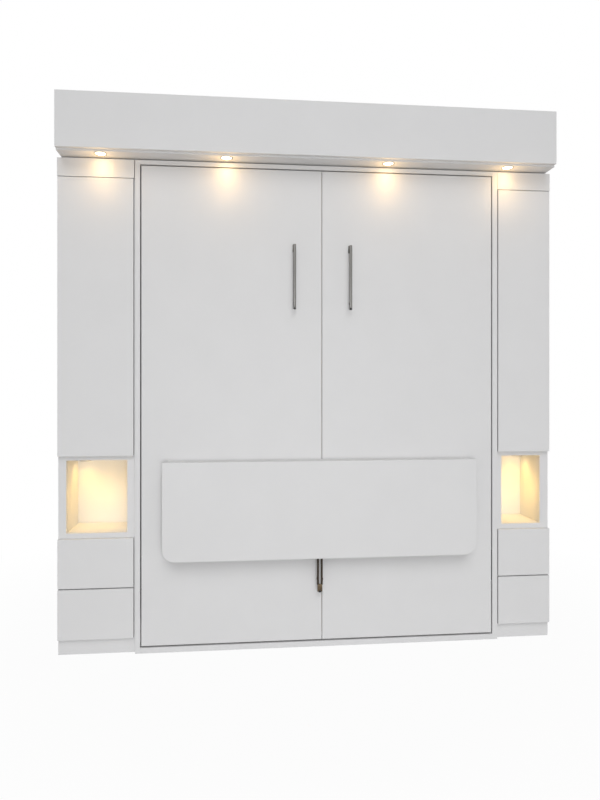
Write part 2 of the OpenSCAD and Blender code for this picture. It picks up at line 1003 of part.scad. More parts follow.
// Plate on the back of the leaf, with a lug between the brace's bars and their pin
module brace_bracket() {
    color(bronze) {
        span(
            [brace_x - brace_plate[0] / 2, brace_x + brace_plate[0] / 2],
            [leaf_y[1], leaf_y[1] + brace_plate[1]],
            [brace_pin_z - brace_plate[2] / 2, brace_pin_z + brace_plate[2] / 2]
        );
        span(
            [brace_x - brace_lug_w / 2, brace_x + brace_lug_w / 2],
            [leaf_y[1] + brace_plate[1] - 1, brace_pin_y],
            [brace_pin_z - leg_lug_r, brace_pin_z + leg_lug_r]
        );
        rod_x(
            [brace_x - brace_lug_w / 2, brace_x + brace_lug_w / 2],
            brace_pin_y, brace_pin_z, leg_lug_r
        );
        rod_x(
            [brace_x - brace_half - 1, brace_x + brace_half + 1],
            brace_pin_y, brace_pin_z, brace_pin_r
        );
    }
}

module brace_arm() {
    bar_y = [brace_pin_y - brace_bar[1] / 2, brace_pin_y + brace_bar[1] / 2];
    block_low = brace_tip_z - brace_tip_set;
    block_top = block_low + brace_block[2];
    tip_half = brace_tip_w / 2 + brace_tip_fit;
    color(bronze)
        difference() {
            union() {
                for (x = [brace_x - brace_half, brace_x + brace_gap / 2]) {
                    span([x, x + brace_bar[0]], bar_y, [block_top - 1, brace_pin_z]);
                    rod_x([x, x + brace_bar[0]], brace_pin_y, brace_pin_z, leg_lug_r);
                }
                span(
                    [brace_x - brace_block[0] / 2, brace_x + brace_block[0] / 2],
                    [brace_pin_y - brace_block[1] / 2, brace_pin_y + brace_block[1] / 2],
                    [block_low, block_top]
                );
                rod_x(
                    [brace_x - brace_half - brace_boss_t, brace_x - brace_gap / 2],
                    brace_pin_y, brace_boss_z, brace_boss_r
                );
                rod_x(
                    [brace_x + brace_gap / 2, brace_x + brace_half + brace_boss_t],
                    brace_pin_y, brace_boss_z, brace_boss_r
                );
            }
            rod_x(
                [brace_x - brace_half - 2, brace_x + brace_half + 2],
                brace_pin_y, brace_pin_z, brace_bore_r
            );
            span(
                [brace_x - tip_half, brace_x + tip_half], [bar_y[0] - 1, bar_y[1] + 1],
                [block_low - 1, brace_tip_z + brace_tip_r]
            );
        }
}

// A rounded foot let into the end of the brace
module brace_tip() {
    half = brace_tip_w / 2;
    color(rubber) {
        rod_x([brace_x - half, brace_x + half], brace_pin_y, brace_tip_z, brace_tip_r);
        span(
            [brace_x - half, brace_x + half],
            [brace_pin_y - brace_block[1] / 2, brace_pin_y + brace_block[1] / 2],
            [brace_tip_z, brace_tip_z + brace_tip_r]
        );
    }
}

// Wedge on the bed face between two cheeks: the brace's tip slides up its slope and bears on it
module brace_rest() {
    half = brace_rest_w / 2;
    slot = brace_rest_slot / 2;
    color(bronze) {
        for (x = [[-half, -slot], [slot, half]])
            span(
                [brace_x + x[0], brace_x + x[1]], [front_y - brace_rest_d, front_y],
                [brace_rest_low, brace_rest_high]
            );
        translate([brace_x - slot - 1, front_y, 0])
            rotate([90, 0, 90])
                linear_extrude(height = 2 * slot + 2)
                    polygon([
                        [0, brace_rest_low], [-brace_ramp_low, brace_rest_low],
                        [-brace_ramp_high, brace_ramp_top], [0, brace_ramp_top]
                    ]);
    }
}

// ---- The nodes ----

bed_side(bed_x[0], groove_left);  // bed_side_left
bed_side(bed_x[1] - board_t, groove_right);  // bed_side_right
bed_top_board();
bed_bottom_rail();
back_panels();
pier_side_panels();
pier_boards();
pier_top_fillers();
pier_plinths();
pier_shelves();
face_frame(unit_x[0], bed_x[0], left_stiles);  // left_face_frame
face_frame(bed_x[1], unit_x[1], right_stiles);  // right_face_frame
niche_box(unit_x[0], bed_x[0], left_stiles);  // left_niche_box
niche_box(bed_x[1], unit_x[1], right_stiles);  // right_niche_box
bridge_fascia();
bridge_soffit();
bridge_top_and_ends();
light_rings();
light_lenses();
door_hinge_arms();
drawer_runners();
pivot_studs();
strut_anchors();
door(unit_x[0], bed_x[0], left_cup_x);  // left_door
hinge_cups(left_cup_x);  // left_hinge_cups
door(bed_x[1], unit_x[1], right_cup_x);  // right_door
hinge_cups(right_cup_x);  // right_hinge_cups
drawer_front(unit_x[0], bed_x[0], upper_front);  // left_upper_drawer_front
drawer_front(unit_x[0], bed_x[0], lower_front);  // left_lower_drawer_front
drawer_front(bed_x[1], unit_x[1], upper_front);  // right_upper_drawer_front
drawer_front(bed_x[1], unit_x[1], lower_front);  // right_lower_drawer_front
drawer_box(drawer_box_x(unit_x[0], bed_x[0], left_stiles), upper_box_z);  // left_upper_drawer_box
drawer_box(drawer_box_x(unit_x[0], bed_x[0], left_stiles), lower_box_z);  // left_lower_drawer_box
drawer_box(drawer_box_x(bed_x[1], unit_x[1], right_stiles), upper_box_z);  // right_upper_drawer_box
drawer_box(drawer_box_x(bed_x[1], unit_x[1], right_stiles), lower_box_z);  // right_lower_drawer_box
bed_face([face_x[0], seam_x - seam / 2]);  // bed_face_left
bed_face([seam_x + seam / 2, face_x[1]]);  // bed_face_right
bed_frame();
bed_slats();
mattress();
mattress_straps();
pivot_bushes();
leg_brackets();
desk_ledge();
desk_hinge_fixed();
brace_rest();
leg_bar(-1);  // left_leg
leg_foot(-1);  // left_leg_foot
leg_bar(1);  // right_leg
leg_foot(1);  // right_leg_foot
desk_leaf();
desk_hinge_moving();
desk_hinge_pin();
brace_bracket();
brace_arm();
brace_tip();
strut_tube(-1);  // left_strut_tube
strut_rod(-1);  // left_strut_rod
strut_tube(1);  // right_strut_tube
strut_rod(1);  // right_strut_rod
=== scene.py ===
import json
import math

import bmesh
import bpy
import numpy as np
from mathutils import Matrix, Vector


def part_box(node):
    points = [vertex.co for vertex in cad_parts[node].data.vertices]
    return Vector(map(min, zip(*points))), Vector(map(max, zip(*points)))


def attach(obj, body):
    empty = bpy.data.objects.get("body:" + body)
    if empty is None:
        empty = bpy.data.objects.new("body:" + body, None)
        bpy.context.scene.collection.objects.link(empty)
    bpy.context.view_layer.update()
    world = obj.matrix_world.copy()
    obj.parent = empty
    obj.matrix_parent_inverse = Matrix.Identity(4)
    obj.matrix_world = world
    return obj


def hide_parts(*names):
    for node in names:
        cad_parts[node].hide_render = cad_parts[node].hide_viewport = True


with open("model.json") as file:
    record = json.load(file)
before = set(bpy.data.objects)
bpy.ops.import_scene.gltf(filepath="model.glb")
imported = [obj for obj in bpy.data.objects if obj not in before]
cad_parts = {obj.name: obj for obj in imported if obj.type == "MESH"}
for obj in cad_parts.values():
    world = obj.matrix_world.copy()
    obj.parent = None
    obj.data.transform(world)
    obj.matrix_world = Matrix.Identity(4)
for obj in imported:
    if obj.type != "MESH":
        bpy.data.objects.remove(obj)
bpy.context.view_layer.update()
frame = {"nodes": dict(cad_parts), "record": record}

scene = bpy.context.scene


# Places read off the frame

def nodeBox(node):  # lowest and highest corner of a CAD node, as arrays
    low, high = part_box(node)
    return np.array(low, float), np.array(high, float)


def bodyOf(node):
    for body, names in frame["record"]["behaviour"]["bodies"].items():
        if node in names:
            return body
    return None


faceLow, faceHigh = nodeBox("bed_face_left")
rightFaceLow = nodeBox("bed_face_right")[0]
frontY = faceLow[1]  # the plane of the doors and of the bed's face
seamX = (faceHigh[0] + rightFaceLow[0]) / 2
soffitZ = nodeBox("bridge_soffit")[0][2]


# Shader helpers

def put(tree, kind, props=None, **sockets):  # a node, with its properties and its socket values
    node = tree.nodes.new(kind)
    for key, value in (props or {}).items():
        setattr(node, key, value)
    for key, value in sockets.items():
        node.inputs[key.replace("_", " ")].default_value = value
    return node


def wire(tree, *pairs):  # each pair is (from socket, to socket)
    for source, target in pairs:
        tree.links.new(source, target)


def mathNode(tree, operation, first, second=None, third=None, clamp=False):
    node = put(tree, "ShaderNodeMath", {"operation": operation, "use_clamp": clamp})
    for index, value in enumerate((first, second, third)):
        if value is None:
            continue
        if isinstance(value, (int, float)):
            node.inputs[index].default_value = value
        else:
            tree.links.new(value, node.inputs[index])
    return node.outputs[0]


def mixColour(tree, factor, first, second):
    node = put(tree, "ShaderNodeMix", {"data_type": "RGBA"})
    for socket, value in ((node.inputs[0], factor), (node.inputs[6], first), (node.inputs[7], second)):
        if isinstance(value, (int, float)):
            socket.default_value = value
        elif isinstance(value, (tuple, list)):
            socket.default_value = (*value[:3], 1.0)
        else:
            tree.links.new(value, socket)
    return node.outputs[2]


# A group that reads a vector and the named inputs, and puts out a colour, a roughness and a height
def newGroup(name, inputs):
    group = bpy.data.node_groups.new(name, "ShaderNodeTree")
    kinds = {"value": "NodeSocketFloat", "colour": "NodeSocketColor", "vector": "NodeSocketVector"}
    group.interface.new_socket("Vector", in_out="INPUT", socket_type=kinds["vector"])
    for label, kind, value in inputs:
        socket = group.interface.new_socket(label, in_out="INPUT", socket_type=kinds[kind])
        socket.default_value = value
    for label, kind in (("Colour", "colour"), ("Roughness", "value"), ("Height", "value")):
        group.interface.new_socket(label, in_out="OUTPUT", socket_type=kinds[kind])
    return group, group.nodes.new("NodeGroupInput"), group.nodes.new("NodeGroupOutput")


def giveOut(group, result, colour, roughness, height):  # wires a group's three outputs
    wire(group, (colour, result.inputs["Colour"]), (roughness, result.inputs["Roughness"]),
         (height, result.inputs["Height"]))


# Laminate: clouds some 20 cm wide shift the tone, and a fine pebble lies all over it.
def laminateGroup():
    group, given, result = newGroup("laminateSkin", [
        ("Colour", "colour", (0.8, 0.8, 0.8, 1)), ("Cloud", "value", 0.02), ("Pebble", "value", 1.0),
        ("Gloss", "value", 0.45)])
    cloud = put(group, "ShaderNodeTexNoise", Scale=5.5, Detail=4.0, Roughness=0.55)
    pebble = put(group, "ShaderNodeTexNoise", Scale=620.0, Detail=2.0, Roughness=0.5)
    touch = put(group, "ShaderNodeTexNoise", Scale=24.0, Detail=3.0, Roughness=0.6)
    for texture in (cloud, pebble, touch):
        wire(group, (given.outputs["Vector"], texture.inputs["Vector"]))
    swing = mathNode(group, "SUBTRACT", cloud.outputs["Fac"], 0.5)
    tone = mathNode(group, "MULTIPLY_ADD", swing, given.outputs["Cloud"], 1.0)
    shade = put(group, "ShaderNodeVectorMath", {"operation": "SCALE"})
    wire(group, (given.outputs["Colour"], shade.inputs[0]), (tone, shade.inputs["Scale"]))
    rough = mathNode(group, "MULTIPLY_ADD", touch.outputs["Fac"], 0.12, -0.06)
    giveOut(group, result, shade.outputs[0], mathNode(group, "ADD", rough, given.outputs["Gloss"]),
            mathNode(group, "MULTIPLY", pebble.outputs["Fac"], given.outputs["Pebble"]))
    return group


# Wood: rings cut lengthwise, bent a little by a slow noise, with fine pores in them.
def grainGroup():
    group, given, result = newGroup("woodGrain", [
        ("Light", "colour", (0.7, 0.55, 0.36, 1)), ("Dark", "colour", (0.5, 0.36, 0.2, 1)),
        ("Rings", "value", 30.0), ("Contrast", "value", 0.6)])
    wander = put(group, "ShaderNodeTexNoise", Scale=2.6, Detail=3.0)
    bent = put(group, "ShaderNodeVectorMath", {"operation": "MULTIPLY_ADD"})
    bent.inputs[1].default_value = (0.09, 0.09, 0.09)
    rings = put(group, "ShaderNodeTexWave", {"wave_type": "BANDS", "bands_direction": "X"},
                Distortion=3.4, Detail=3.0, Detail_Scale=1.4)
    pores = put(group, "ShaderNodeTexNoise", Scale=260.0, Detail=3.0, Roughness=0.65)
    wire(group, (given.outputs["Vector"], wander.inputs["Vector"]), (wander.outputs["Color"], bent.inputs[0]),
         (given.outputs["Vector"], bent.inputs[2]), (bent.outputs[0], rings.inputs["Vector"]),
         (given.outputs["Rings"], rings.inputs["Scale"]), (given.outputs["Vector"], pores.inputs["Vector"]))
    mask = mathNode(group, "MULTIPLY", rings.outputs["Fac"], given.outputs["Contrast"])
    giveOut(group, result, mixColour(group, mask, given.outputs["Light"], given.outputs["Dark"]),
            mathNode(group, "MULTIPLY_ADD", pores.outputs["Fac"], 0.18, 0.42),
            mathNode(group, "MULTIPLY_ADD", pores.outputs["Fac"], 0.7, rings.outputs["Fac"]))
    return group


# Metal: fine hair lines, with worn patches a centimetre or two wide.
def metalGroup():
    group, given, result = newGroup("drawnMetal", [
        ("Colour", "colour", (0.5, 0.5, 0.5, 1)), ("Worn", "colour", (0.6, 0.6, 0.6, 1)),
        ("Wear", "value", 0.3), ("Gloss", "value", 0.35)])
    hair = put(group, "ShaderNodeTexNoise", Scale=1400.0, Detail=2.0)
    patch = put(group, "ShaderNodeTexNoise", Scale=60.0, Detail=5.0, Roughness=0.65)
    for texture in (hair, patch):
        wire(group, (given.outputs["Vector"], texture.inputs["Vector"]))
    edge = put(group, "ShaderNodeMapRange", From_Min=0.42, From_Max=0.7)
    wire(group, (patch.outputs["Fac"], edge.inputs["Value"]))
    worn = mathNode(group, "MULTIPLY", edge.outputs["Result"], given.outputs["Wear"])
    rough = mathNode(group, "MULTIPLY_ADD", patch.outputs["Fac"], 0.16, -0.08)
    giveOut(group, result, mixColour(group, worn, given.outputs["Colour"], given.outputs["Worn"]),
            mathNode(group, "ADD", rough, given.outputs["Gloss"]), hair.outputs["Fac"])
    return group


# Cloth: two sets of threads cross, each one a sine along its own direction.
# The Shade colour goes to the low parts between the threads: painted shade in the weave's hollows.
def weaveGroup():
    group, given, result = newGroup("wovenThreads", [
        ("Colour", "colour", (0.8, 0.8, 0.8, 1)), ("Shade", "colour", (0.6, 0.6, 0.6, 1)),
        ("Threads", "value", 400.0), ("Fuzz", "value", 0.2)])
    split = put(group, "ShaderNodeSeparateXYZ")
    wire(group, (given.outputs["Vector"], split.inputs[0]))
    turns = mathNode(group, "MULTIPLY", given.outputs["Threads"], math.tau)
    warp, weft = [mathNode(group, "SINE", mathNode(group, "MULTIPLY", split.outputs[axis], turns))
                  for axis in (0, 1)]
    cross = mathNode(group, "MULTIPLY", warp, weft)
    threads = mathNode(group, "MULTIPLY_ADD", cross, 0.5, 0.5)
    fluff = put(group, "ShaderNodeTexNoise", Scale=90.0, Detail=4.0)
    wire(group, (given.outputs["Vector"], fluff.inputs["Vector"]))
    soft = mathNode(group, "MULTIPLY", fluff.outputs["Fac"], given.outputs["Fuzz"])
    # Painted shade: the colour darkens towards Shade where the threads lie low
    mask = mathNode(group, "MULTIPLY_ADD", threads, 0.5, soft, clamp=True)
    giveOut(group, result, mixColour(group, mask, given.outputs["Shade"], given.outputs["Colour"]),
            mathNode(group, "MULTIPLY_ADD", fluff.outputs["Fac"], 0.15, 0.75), threads)
    return group


laminateSkin = laminateGroup()
woodGrain = grainGroup()
drawnMetal = metalGroup()
wovenThreads = weaveGroup()


# A material: coordinates, one of the groups above, a bump and a Principled shader with its own fixed values.
# The bump is (strength, depth in metres), and a stretch under 1 draws the pattern out along that axis.
def makeMaterial(name, group, values, bump, fixed=None, stretch=(1, 1, 1), turn=(0, 0, 0), coords="Object"):
    material = bpy.data.materials.new(name)
    material.use_nodes = True
    tree = material.node_tree
    shader = tree.nodes["Principled BSDF"]
    for key, value in (fixed or {}).items():
        shader.inputs[key].default_value = value
    where = put(tree, "ShaderNodeTexCoord")
    mapping = put(tree, "ShaderNodeMapping")
    mapping.inputs["Scale"].default_value = stretch
    mapping.inputs["Rotation"].default_value = turn
    effect = put(tree, "ShaderNodeGroup", {"node_tree": group})
    for key, value in values.items():
        effect.inputs[key].default_value = (*value, 1.0) if isinstance(value, tuple) else value
    relief = put(tree, "ShaderNodeBump", Strength=bump[0], Distance=bump[1])
    wire(tree, (where.outputs[coords], mapping.inputs["Vector"]),
         (mapping.outputs[0], effect.inputs["Vector"]),
         (effect.outputs["Colour"], shader.inputs["Base Color"]),
         (effect.outputs["Roughness"], shader.inputs["Roughness"]),
         (effect.outputs["Height"], relief.inputs["Height"]),
         (relief.outputs[0], shader.inputs["Normal"]))
    return material


def pebbled(name, colour, cloud, pebble, gloss, bump, specular):  # laminate, and moulded rubber and nylon
    values = {"Colour": colour, "Cloud": cloud, "Pebble": pebble, "Gloss": gloss}
    return makeMaterial(name, laminateSkin, values, bump, {"Specular IOR Level": specular})


def birch(name, rings, turn=(0, 0, 0)):  # clear-coated birch, its grain along z before the turn
    values = {"Light": (0.66, 0.50, 0.31), "Dark": (0.48, 0.33, 0.18), "Rings": rings, "Contrast": 0.55}
    return makeMaterial(name, woodGrain, values, (0.2, 0.0006), {"Coat Weight": 0.15, "Coat Roughness": 0.3},
                        stretch=(1, 1, 0.07), turn=turn)


def metal(name, colour, worn, wear, gloss, bump, draw=1.0, fixed=None):  # draw under 1 makes its lines longer
    values = {"Colour": colour, "Worn": worn, "Wear": wear, "Gloss": gloss}
    return makeMaterial(name, drawnMetal, values, bump, fixed or {"Metallic": 1.0}, stretch=(1, 1, draw))


# shade is the colour of the painted shade in the hollows between the threads
def cloth(name, colour, shade, threads, fuzz, bump, sheen, specular):  # so many threads to a metre of UV
    values = {"Colour": colour, "Shade": shade, "Threads": threads, "Fuzz": fuzz}
    return makeMaterial(name, wovenThreads, values, bump,
                        {"Sheen Weight": sheen, "Specular IOR Level": specular}, coords="UV")


white = pebbled("whiteLaminate", colour=(0.70, 0.70, 0.705), cloud=0.05, pebble=1.0, gloss=0.5,
                bump=(0.12, 0.0004), specular=0.35)
whiteInside = pebbled("whiteInterior", colour=(0.72, 0.715, 0.70), cloud=0.04, pebble=0.7, gloss=0.55,
                      bump=(0.1, 0.0004), specular=0.35)
rubber = pebbled("mouldedRubber", colour=(0.028, 0.028, 0.028), cloud=0.3, pebble=1.0, gloss=0.72,
                 bump=(0.3, 0.0004), specular=0.3)
nylon = pebbled("mouldedNylon", colour=(0.05, 0.05, 0.052), cloud=0.2, pebble=0.8, gloss=0.45,
                bump=(0.15, 0.0003), specular=0.45)
birchUp = birch("birchUpright", rings=34.0)
birchAcross = birch("birchAcross", rings=30.0, turn=(0, math.pi / 2, 0))
zinc = metal("zincPlate", colour=(0.56, 0.56, 0.57), worn=(0.66, 0.64, 0.58), wear=0.5, gloss=0.36,
             bump=(0.08, 0.0002), draw=0.1)
chrome = metal("polishedRod", colour=(0.66, 0.66, 0.67), worn=(0.58, 0.57, 0.55), wear=0.25, gloss=0.16,
               bump=(0.03, 0.0001), draw=0.05)
burnished = metal("burnishedSteel", colour=(0.09, 0.09, 0.095), worn=(0.16, 0.155, 0.15), wear=0.5,
                  gloss=0.42, bump=(0.08, 0.0002), draw=0.2)
nickel = metal("darkNickel", colour=(0.15, 0.148, 0.142), worn=(0.24, 0.235, 0.22), wear=0.5, gloss=0.42,
               bump=(0.12, 0.0002), draw=0.02)
satinNickel = metal("satinNickel", colour=(0.50, 0.47, 0.42), worn=(0.60, 0.57, 0.50), wear=0.4, gloss=0.34,
                    bump=(0.06, 0.0002))
bronze = metal("antiqueBronze", colour=(0.075, 0.056, 0.036), worn=(0.19, 0.14, 0.085), wear=0.6, gloss=0.42,
               bump=(0.15, 0.0003), draw=0.3, fixed={"Metallic": 0.85})
# Bars' bronze, darker than the block's: a dark bronze with painted shade from the desk's leaf above them
barBronzeAndShade = metal("barBronzeAndShade", colour=(0.022, 0.015, 0.010), worn=(0.075, 0.052, 0.033), wear=0.5,
                    gloss=0.45, bump=(0.15, 0.0003), draw=0.1,
                    fixed={"Metallic": 0.6, "Specular IOR Level": 0.35})
blackPaint = metal("blackPaint", colour=(0.018, 0.018, 0.02), worn=(0.05, 0.05, 0.055), wear=0.4, gloss=0.34,
                   bump=(0.08, 0.0002), fixed={"Specular IOR Level": 0.5})
ticking = cloth("mattressTicking", colour=(0.80, 0.79, 0.75), shade=(0.66, 0.65, 0.61), threads=420.0,
                fuzz=0.5, bump=(0.25, 0.0006), sheen=0.25, specular=0.2)
piping = cloth("mattressPiping", colour=(0.60, 0.60, 0.60), shade=(0.42, 0.42, 0.43), threads=520.0,
               fuzz=0.4, bump=(0.3, 0.0005), sheen=0.2, specular=0.2)
webbing = cloth("strapWebbing", colour=(0.075, 0.075, 0.082), shade=(0.03, 0.03, 0.034), threads=330.0,
                fuzz=0.3, bump=(0.5, 0.0008), sheen=0.15, specular=0.25)

# Lamp lens: a frosted disc that glows, a little dimmer between the grains of its frost
lensLook = {"body": (0.85, 0.8, 0.7, 1), "roughness": 0.5, "grains": 420.0, "dimming": 0.25, "dimTint": 0.75,
            "strength": 5.0}


def lensMaterial(name, tint):
    material = bpy.data.materials.new(name)
    material.use_nodes = True
    tree = material.node_tree
    shader = tree.nodes["Principled BSDF"]
    shader.inputs["Roughness"].default_value = lensLook["roughness"]
    shader.inputs["Base Color"].default_value = lensLook["body"]
    shader.inputs["Emission Strength"].default_value = lensLook["strength"]
    where = put(tree, "ShaderNodeTexCoord")
    frost = put(tree, "ShaderNodeTexVoronoi", Scale=lensLook["grains"])
    wire(tree, (where.outputs["Object"], frost.inputs["Vector"]))
    shade = mathNode(tree, "MULTIPLY_ADD", frost.outputs["Distance"], -lensLook["dimming"], 1.0, clamp=True)
    dimmed = tuple(part * lensLook["dimTint"] for part in tint)
    wire(tree, (mixColour(tree, shade, dimmed, tint), shader.inputs["Emission Color"]))
    return material


lampGlow = lensMaterial("lampLens", (1.0, 0.86, 0.62))
nicheGlow = lensMaterial("nicheLens", (1.0, 0.80, 0.48))
print("wall bed: materials made")


# Meshes

weld = {"own": 1e-7, "cad": 1e-6}  # corners nearer to each other than this, in metres, become one


def pieceFor(node, name, mesh, material, sharpAngle=35):  # a piece on the node's body, with the node's finish
    piece = bpy.data.objects.new(name, mesh)
    scene.collection.objects.link(piece)
    mesh.materials.append(material)
    mesh.polygons.foreach_set("use_smooth", [True] * len(mesh.polygons))
    mesh.set_sharp_from_angle(angle=math.radians(sharpAngle))
    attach(piece, bodyOf(node))
    return piece


# A closed skin over rows of points, shaped (rows, columns, 3). Quad (r, c) joins the points (r, c),
# (r, c + 1), (r + 1, c + 1) and (r + 1, c), the columns coming round again, and a cap closes each end row.
# Corners are the quads' UV places.
def skinMesh(name, rings, capped=True, corners=None):
    rings = np.asarray(rings, float)
    rows, columns = rings.shape[:2]
    row, column = np.meshgrid(np.arange(rows - 1) * columns, np.arange(columns), indexing="ij")
    after = (column + 1) % columns
    quads = np.stack([row + column, row + after, row + columns + after, row + columns + column], axis=-1)
    faces = quads.reshape(-1, 4).tolist()
    if capped:
        faces.append(list(range(columns))[::-1])
        faces.append(list(range((rows - 1) * columns, rows * columns)))
    mesh = bpy.data.meshes.new(name)
    mesh.from_pydata(rings.reshape(-1, 3).tolist(), [], faces)
    if corners is not None:
        spots = np.zeros(len(mesh.loops) * 2)
        spots[:corners.size] = corners.ravel()
        mesh.uv_layers.new(name="weave").data.foreach_set("uv", spots)
    work = bmesh.new()
    work.from_mesh(mesh)
    bmesh.ops.remove_doubles(work, verts=work.verts, dist=weld["own"])
    bmesh.ops.recalc_face_normals(work, faces=work.faces)
    work.to_mesh(mesh)
    work.free()
    return mesh


# UV places of the quads of a skin, shaped (rows - 1, columns, 4, 2). The values u and v stand on its grid of
# (rows, columns + 1) points, whose last column is the first one come round again.
def quadCorners(u, v):
    rows, columns = u.shape[0] - 1, u.shape[1] - 1
    return np.stack([np.stack([u[down:rows + down, over:columns + over],
                               v[down:rows + down, over:columns + over]], -1)
                     for down, over in ((0, 0), (0, 1), (1, 1), (1, 0))], axis=2)


def joinMeshes(name, meshes):  # several meshes as one
    work = bmesh.new()
    for mesh in meshes:
        work.from_mesh(mesh)
        bpy.data.meshes.remove(mesh)
    whole = bpy.data.meshes.new(name)
    work.to_mesh(whole)
    work.free()
    return whole


def axisFrame(axis):  # the axis as a unit vector, and two directions square to it
    axis = np.array(axis, float) / np.linalg.norm(axis)
    side = np.cross(axis, (0.0, 0.0, 1.0) if abs(axis[2]) < 0.9 else (1.0, 0.0, 0.0))
    side /= np.linalg.norm(side)
    return axis, side, np.cross(axis, side)


# Turned form: a profile of (radius, height) points carried round an axis.
# Point = centre + height * axis + radius * (cos a * side + sin a * across), a from 0 to a full turn.
def turned(name, profile, centre, axis, count=48):
    axis, side, across = axisFrame(axis)
    angle = np.linspace(0, math.tau, count, endpoint=False)
    spoke = np.cos(angle)[:, None] * side + np.sin(angle)[:, None] * across
    profile = np.array(profile, float)
    return skinMesh(name, np.array(centre) + profile[:, 1, None, None] * axis
                    + profile[:, 0, None, None] * spoke[None], capped=False)


# Round disc: a turned form from -half to half along its axis, its two rims cut off by the ease
def easedDisc(name, radius, half, ease, centre, axis):
    return turned(name, [(0, -half), (radius - ease, -half), (radius, ease - half), (radius, half - ease),
                         (radius - ease, half), (0, half)], centre, axis)


# Bar: a section carried along a straight run, with a rounded nose at both ends.
# Section = (a * |cos t|^(2/n) * sign, b * |sin t|^(2/n) * sign), n being the squareness. The nose takes
# nose * (1 - sin u) off a and b at nose * (1 - cos u) from the end, u over a quarter turn.
def roundedBar(name, start, end, side, halfSide, halfDepth, squareness=4.0, nose=0.001, count=32, steps=5):
    start, end, side = (np.array(v, float) for v in (start, end, side))
    along = end - start
    length = np.linalg.norm(along)
    along /= length
    depth = np.cross(along, side)
    angle = np.linspace(0, math.tau, count, endpoint=False)
    power = 2.0 / squareness
    across = np.sign(np.cos(angle)) * np.abs(np.cos(angle)) ** power
    deep = np.sign(np.sin(angle)) * np.abs(np.sin(angle)) ** power
    turn = np.linspace(0, math.pi / 2, steps)
    inset = nose * (1 - np.sin(turn))
    rise = nose * (1 - np.cos(turn))
    inset = np.concatenate([inset, inset[::-1]])
    place = np.concatenate([rise, length - rise[::-1]])
    rings = (start + place[:, None, None] * along
             + ((halfSide - inset)[:, None] * across)[..., None] * side
             + ((halfDepth - inset)[:, None] * deep)[..., None] * depth)
    return skinMesh(name, rings)


# Box with all edges rounded: a ball cut in eight, its parts moved to the box's corners.
# Point = sign(n) * (half size - r) + r * n, n running over the ball's directions.
def roundedBox(name, low, high, radius, steps=3):
    low, high = np.array(low, float), np.array(high, float)
    middle, half = (low + high) / 2, (high - low) / 2 - radius
    quarter = np.linspace(0, math.pi / 2, steps + 1)
    turn = np.concatenate([quarter + k * math.pi / 2 for k in range(4)])
    sideX = np.repeat([1, -1, -1, 1], steps + 1)
    sideY = np.repeat([1, 1, -1, -1], steps + 1)
    climb = np.concatenate([quarter - math.pi / 2, quarter])
    sideZ = np.repeat([-1, 1], steps + 1)
    flat = np.cos(climb)[:, None]
    rings = np.stack([
        middle[0] + sideX * half[0] + radius * flat * np.cos(turn),
        middle[1] + sideY * half[1] + radius * flat * np.sin(turn),
        (middle[2] + sideZ * half[2] + radius * np.sin(climb))[:, None] * np.ones(len(turn))], axis=-1)
    return skinMesh(name, rings)


# Outline of a rectangle with round corners, as (across, up) points at even steps of its own length.
# Corner k = its middle + corner * (cos t, sin t), t over a quarter turn; straight runs join the corners.
def roundRect(halfAcross, halfUp, corner, count, steps=9):
    quarter = np.linspace(0, math.pi / 2, steps)
    turn = np.concatenate([quarter + k * math.pi / 2 for k in range(4)])
    side = np.repeat([[1, 1], [-1, 1], [-1, -1], [1, -1]], steps, axis=0)
    spoke = np.stack([np.cos(turn), np.sin(turn)], -1)
    points = side * (halfAcross - corner, halfUp - corner) + corner * spoke
    points = np.concatenate([points, points[:1]])
    run = np.concatenate([[0], np.cumsum(np.linalg.norm(np.diff(points, axis=0), axis=1))])
    even = np.linspace(0, run[-1], count, endpoint=False)
    return np.stack([np.interp(even, run, points[:, k]) for k in (0, 1)], -1), even, run[-1]


# Plate with round corners: its outline stands at the foot, at the shoulder and, drawn in by the ease, at
# the top. Point = foot + height * axis + the outline's own two parts along across and up.
def roundedPlate(name, foot, axis, across, halfAcross, halfUp, corner, thickness, ease=0.0002, count=48):
    axis, across = np.array(axis, float), np.array(across, float)
    up = np.cross(axis, across)
    rings = []
    for height, inset in ((0, 0), (thickness - ease, 0), (thickness, ease)):
        outline = roundRect(halfAcross - inset, halfUp - inset, corner - inset, count)[0]
        rings.append(np.array(foot) + height * axis + outline[:, :1] * across + outline[:, 1:] * up)
    return skinMesh(name, rings)


# Screw head: a low dome whose rings run from the rim to a cross recess, and down into it.
# Cross outline at angle a = max(min(L / |cos a|, w / |sin a|), min(L / |sin a|, w / |cos a|)).
# Measures are shares of the head's radius, and the dome's rings are (radius, share of the rise).
screwShape = {"armLength": 0.52, "armHalfWidth": 0.15, "recess": 0.4, "taper": 0.8, "foot": -0.1,
              "dome": [(1.0, 0.2), (0.9, 0.75), (0.7, 1.0)]}


def screwHead(centre, axis, radius, rise=0.3, count=32):
    axis, side, across = axisFrame(axis)
    angle = np.linspace(0, math.tau, count, endpoint=False)
    cosine, sine = np.abs(np.cos(angle)) + 1e-6, np.abs(np.sin(angle)) + 1e-6
    reach, wide = screwShape["armLength"], screwShape["armHalfWidth"]
    cross = np.maximum(np.minimum(reach / cosine, wide / sine), np.minimum(reach / sine, wide / cosine))
    whole, dome = np.ones(count), screwShape["dome"]
    spread = np.stack([whole, *(whole * share for share, lift in dome), cross, cross * screwShape["taper"]])
    height = np.array([screwShape["foot"], *(rise * lift for share, lift in dome), rise,
                       rise - screwShape["recess"]])
    spoke = np.cos(angle)[:, None] * side + np.sin(angle)[:, None] * across
    rings = height[:, None, None] * axis + spread[..., None] * spoke
    return skinMesh("screw", np.array(centre) + radius * rings)


def screwsOn(node, name, places, axis, radius, material, rise=0.3):
    heads = [screwHead(place, axis, radius, rise) for place in places]
    pieceFor(node, name, joinMeshes(name, heads), material, 30)


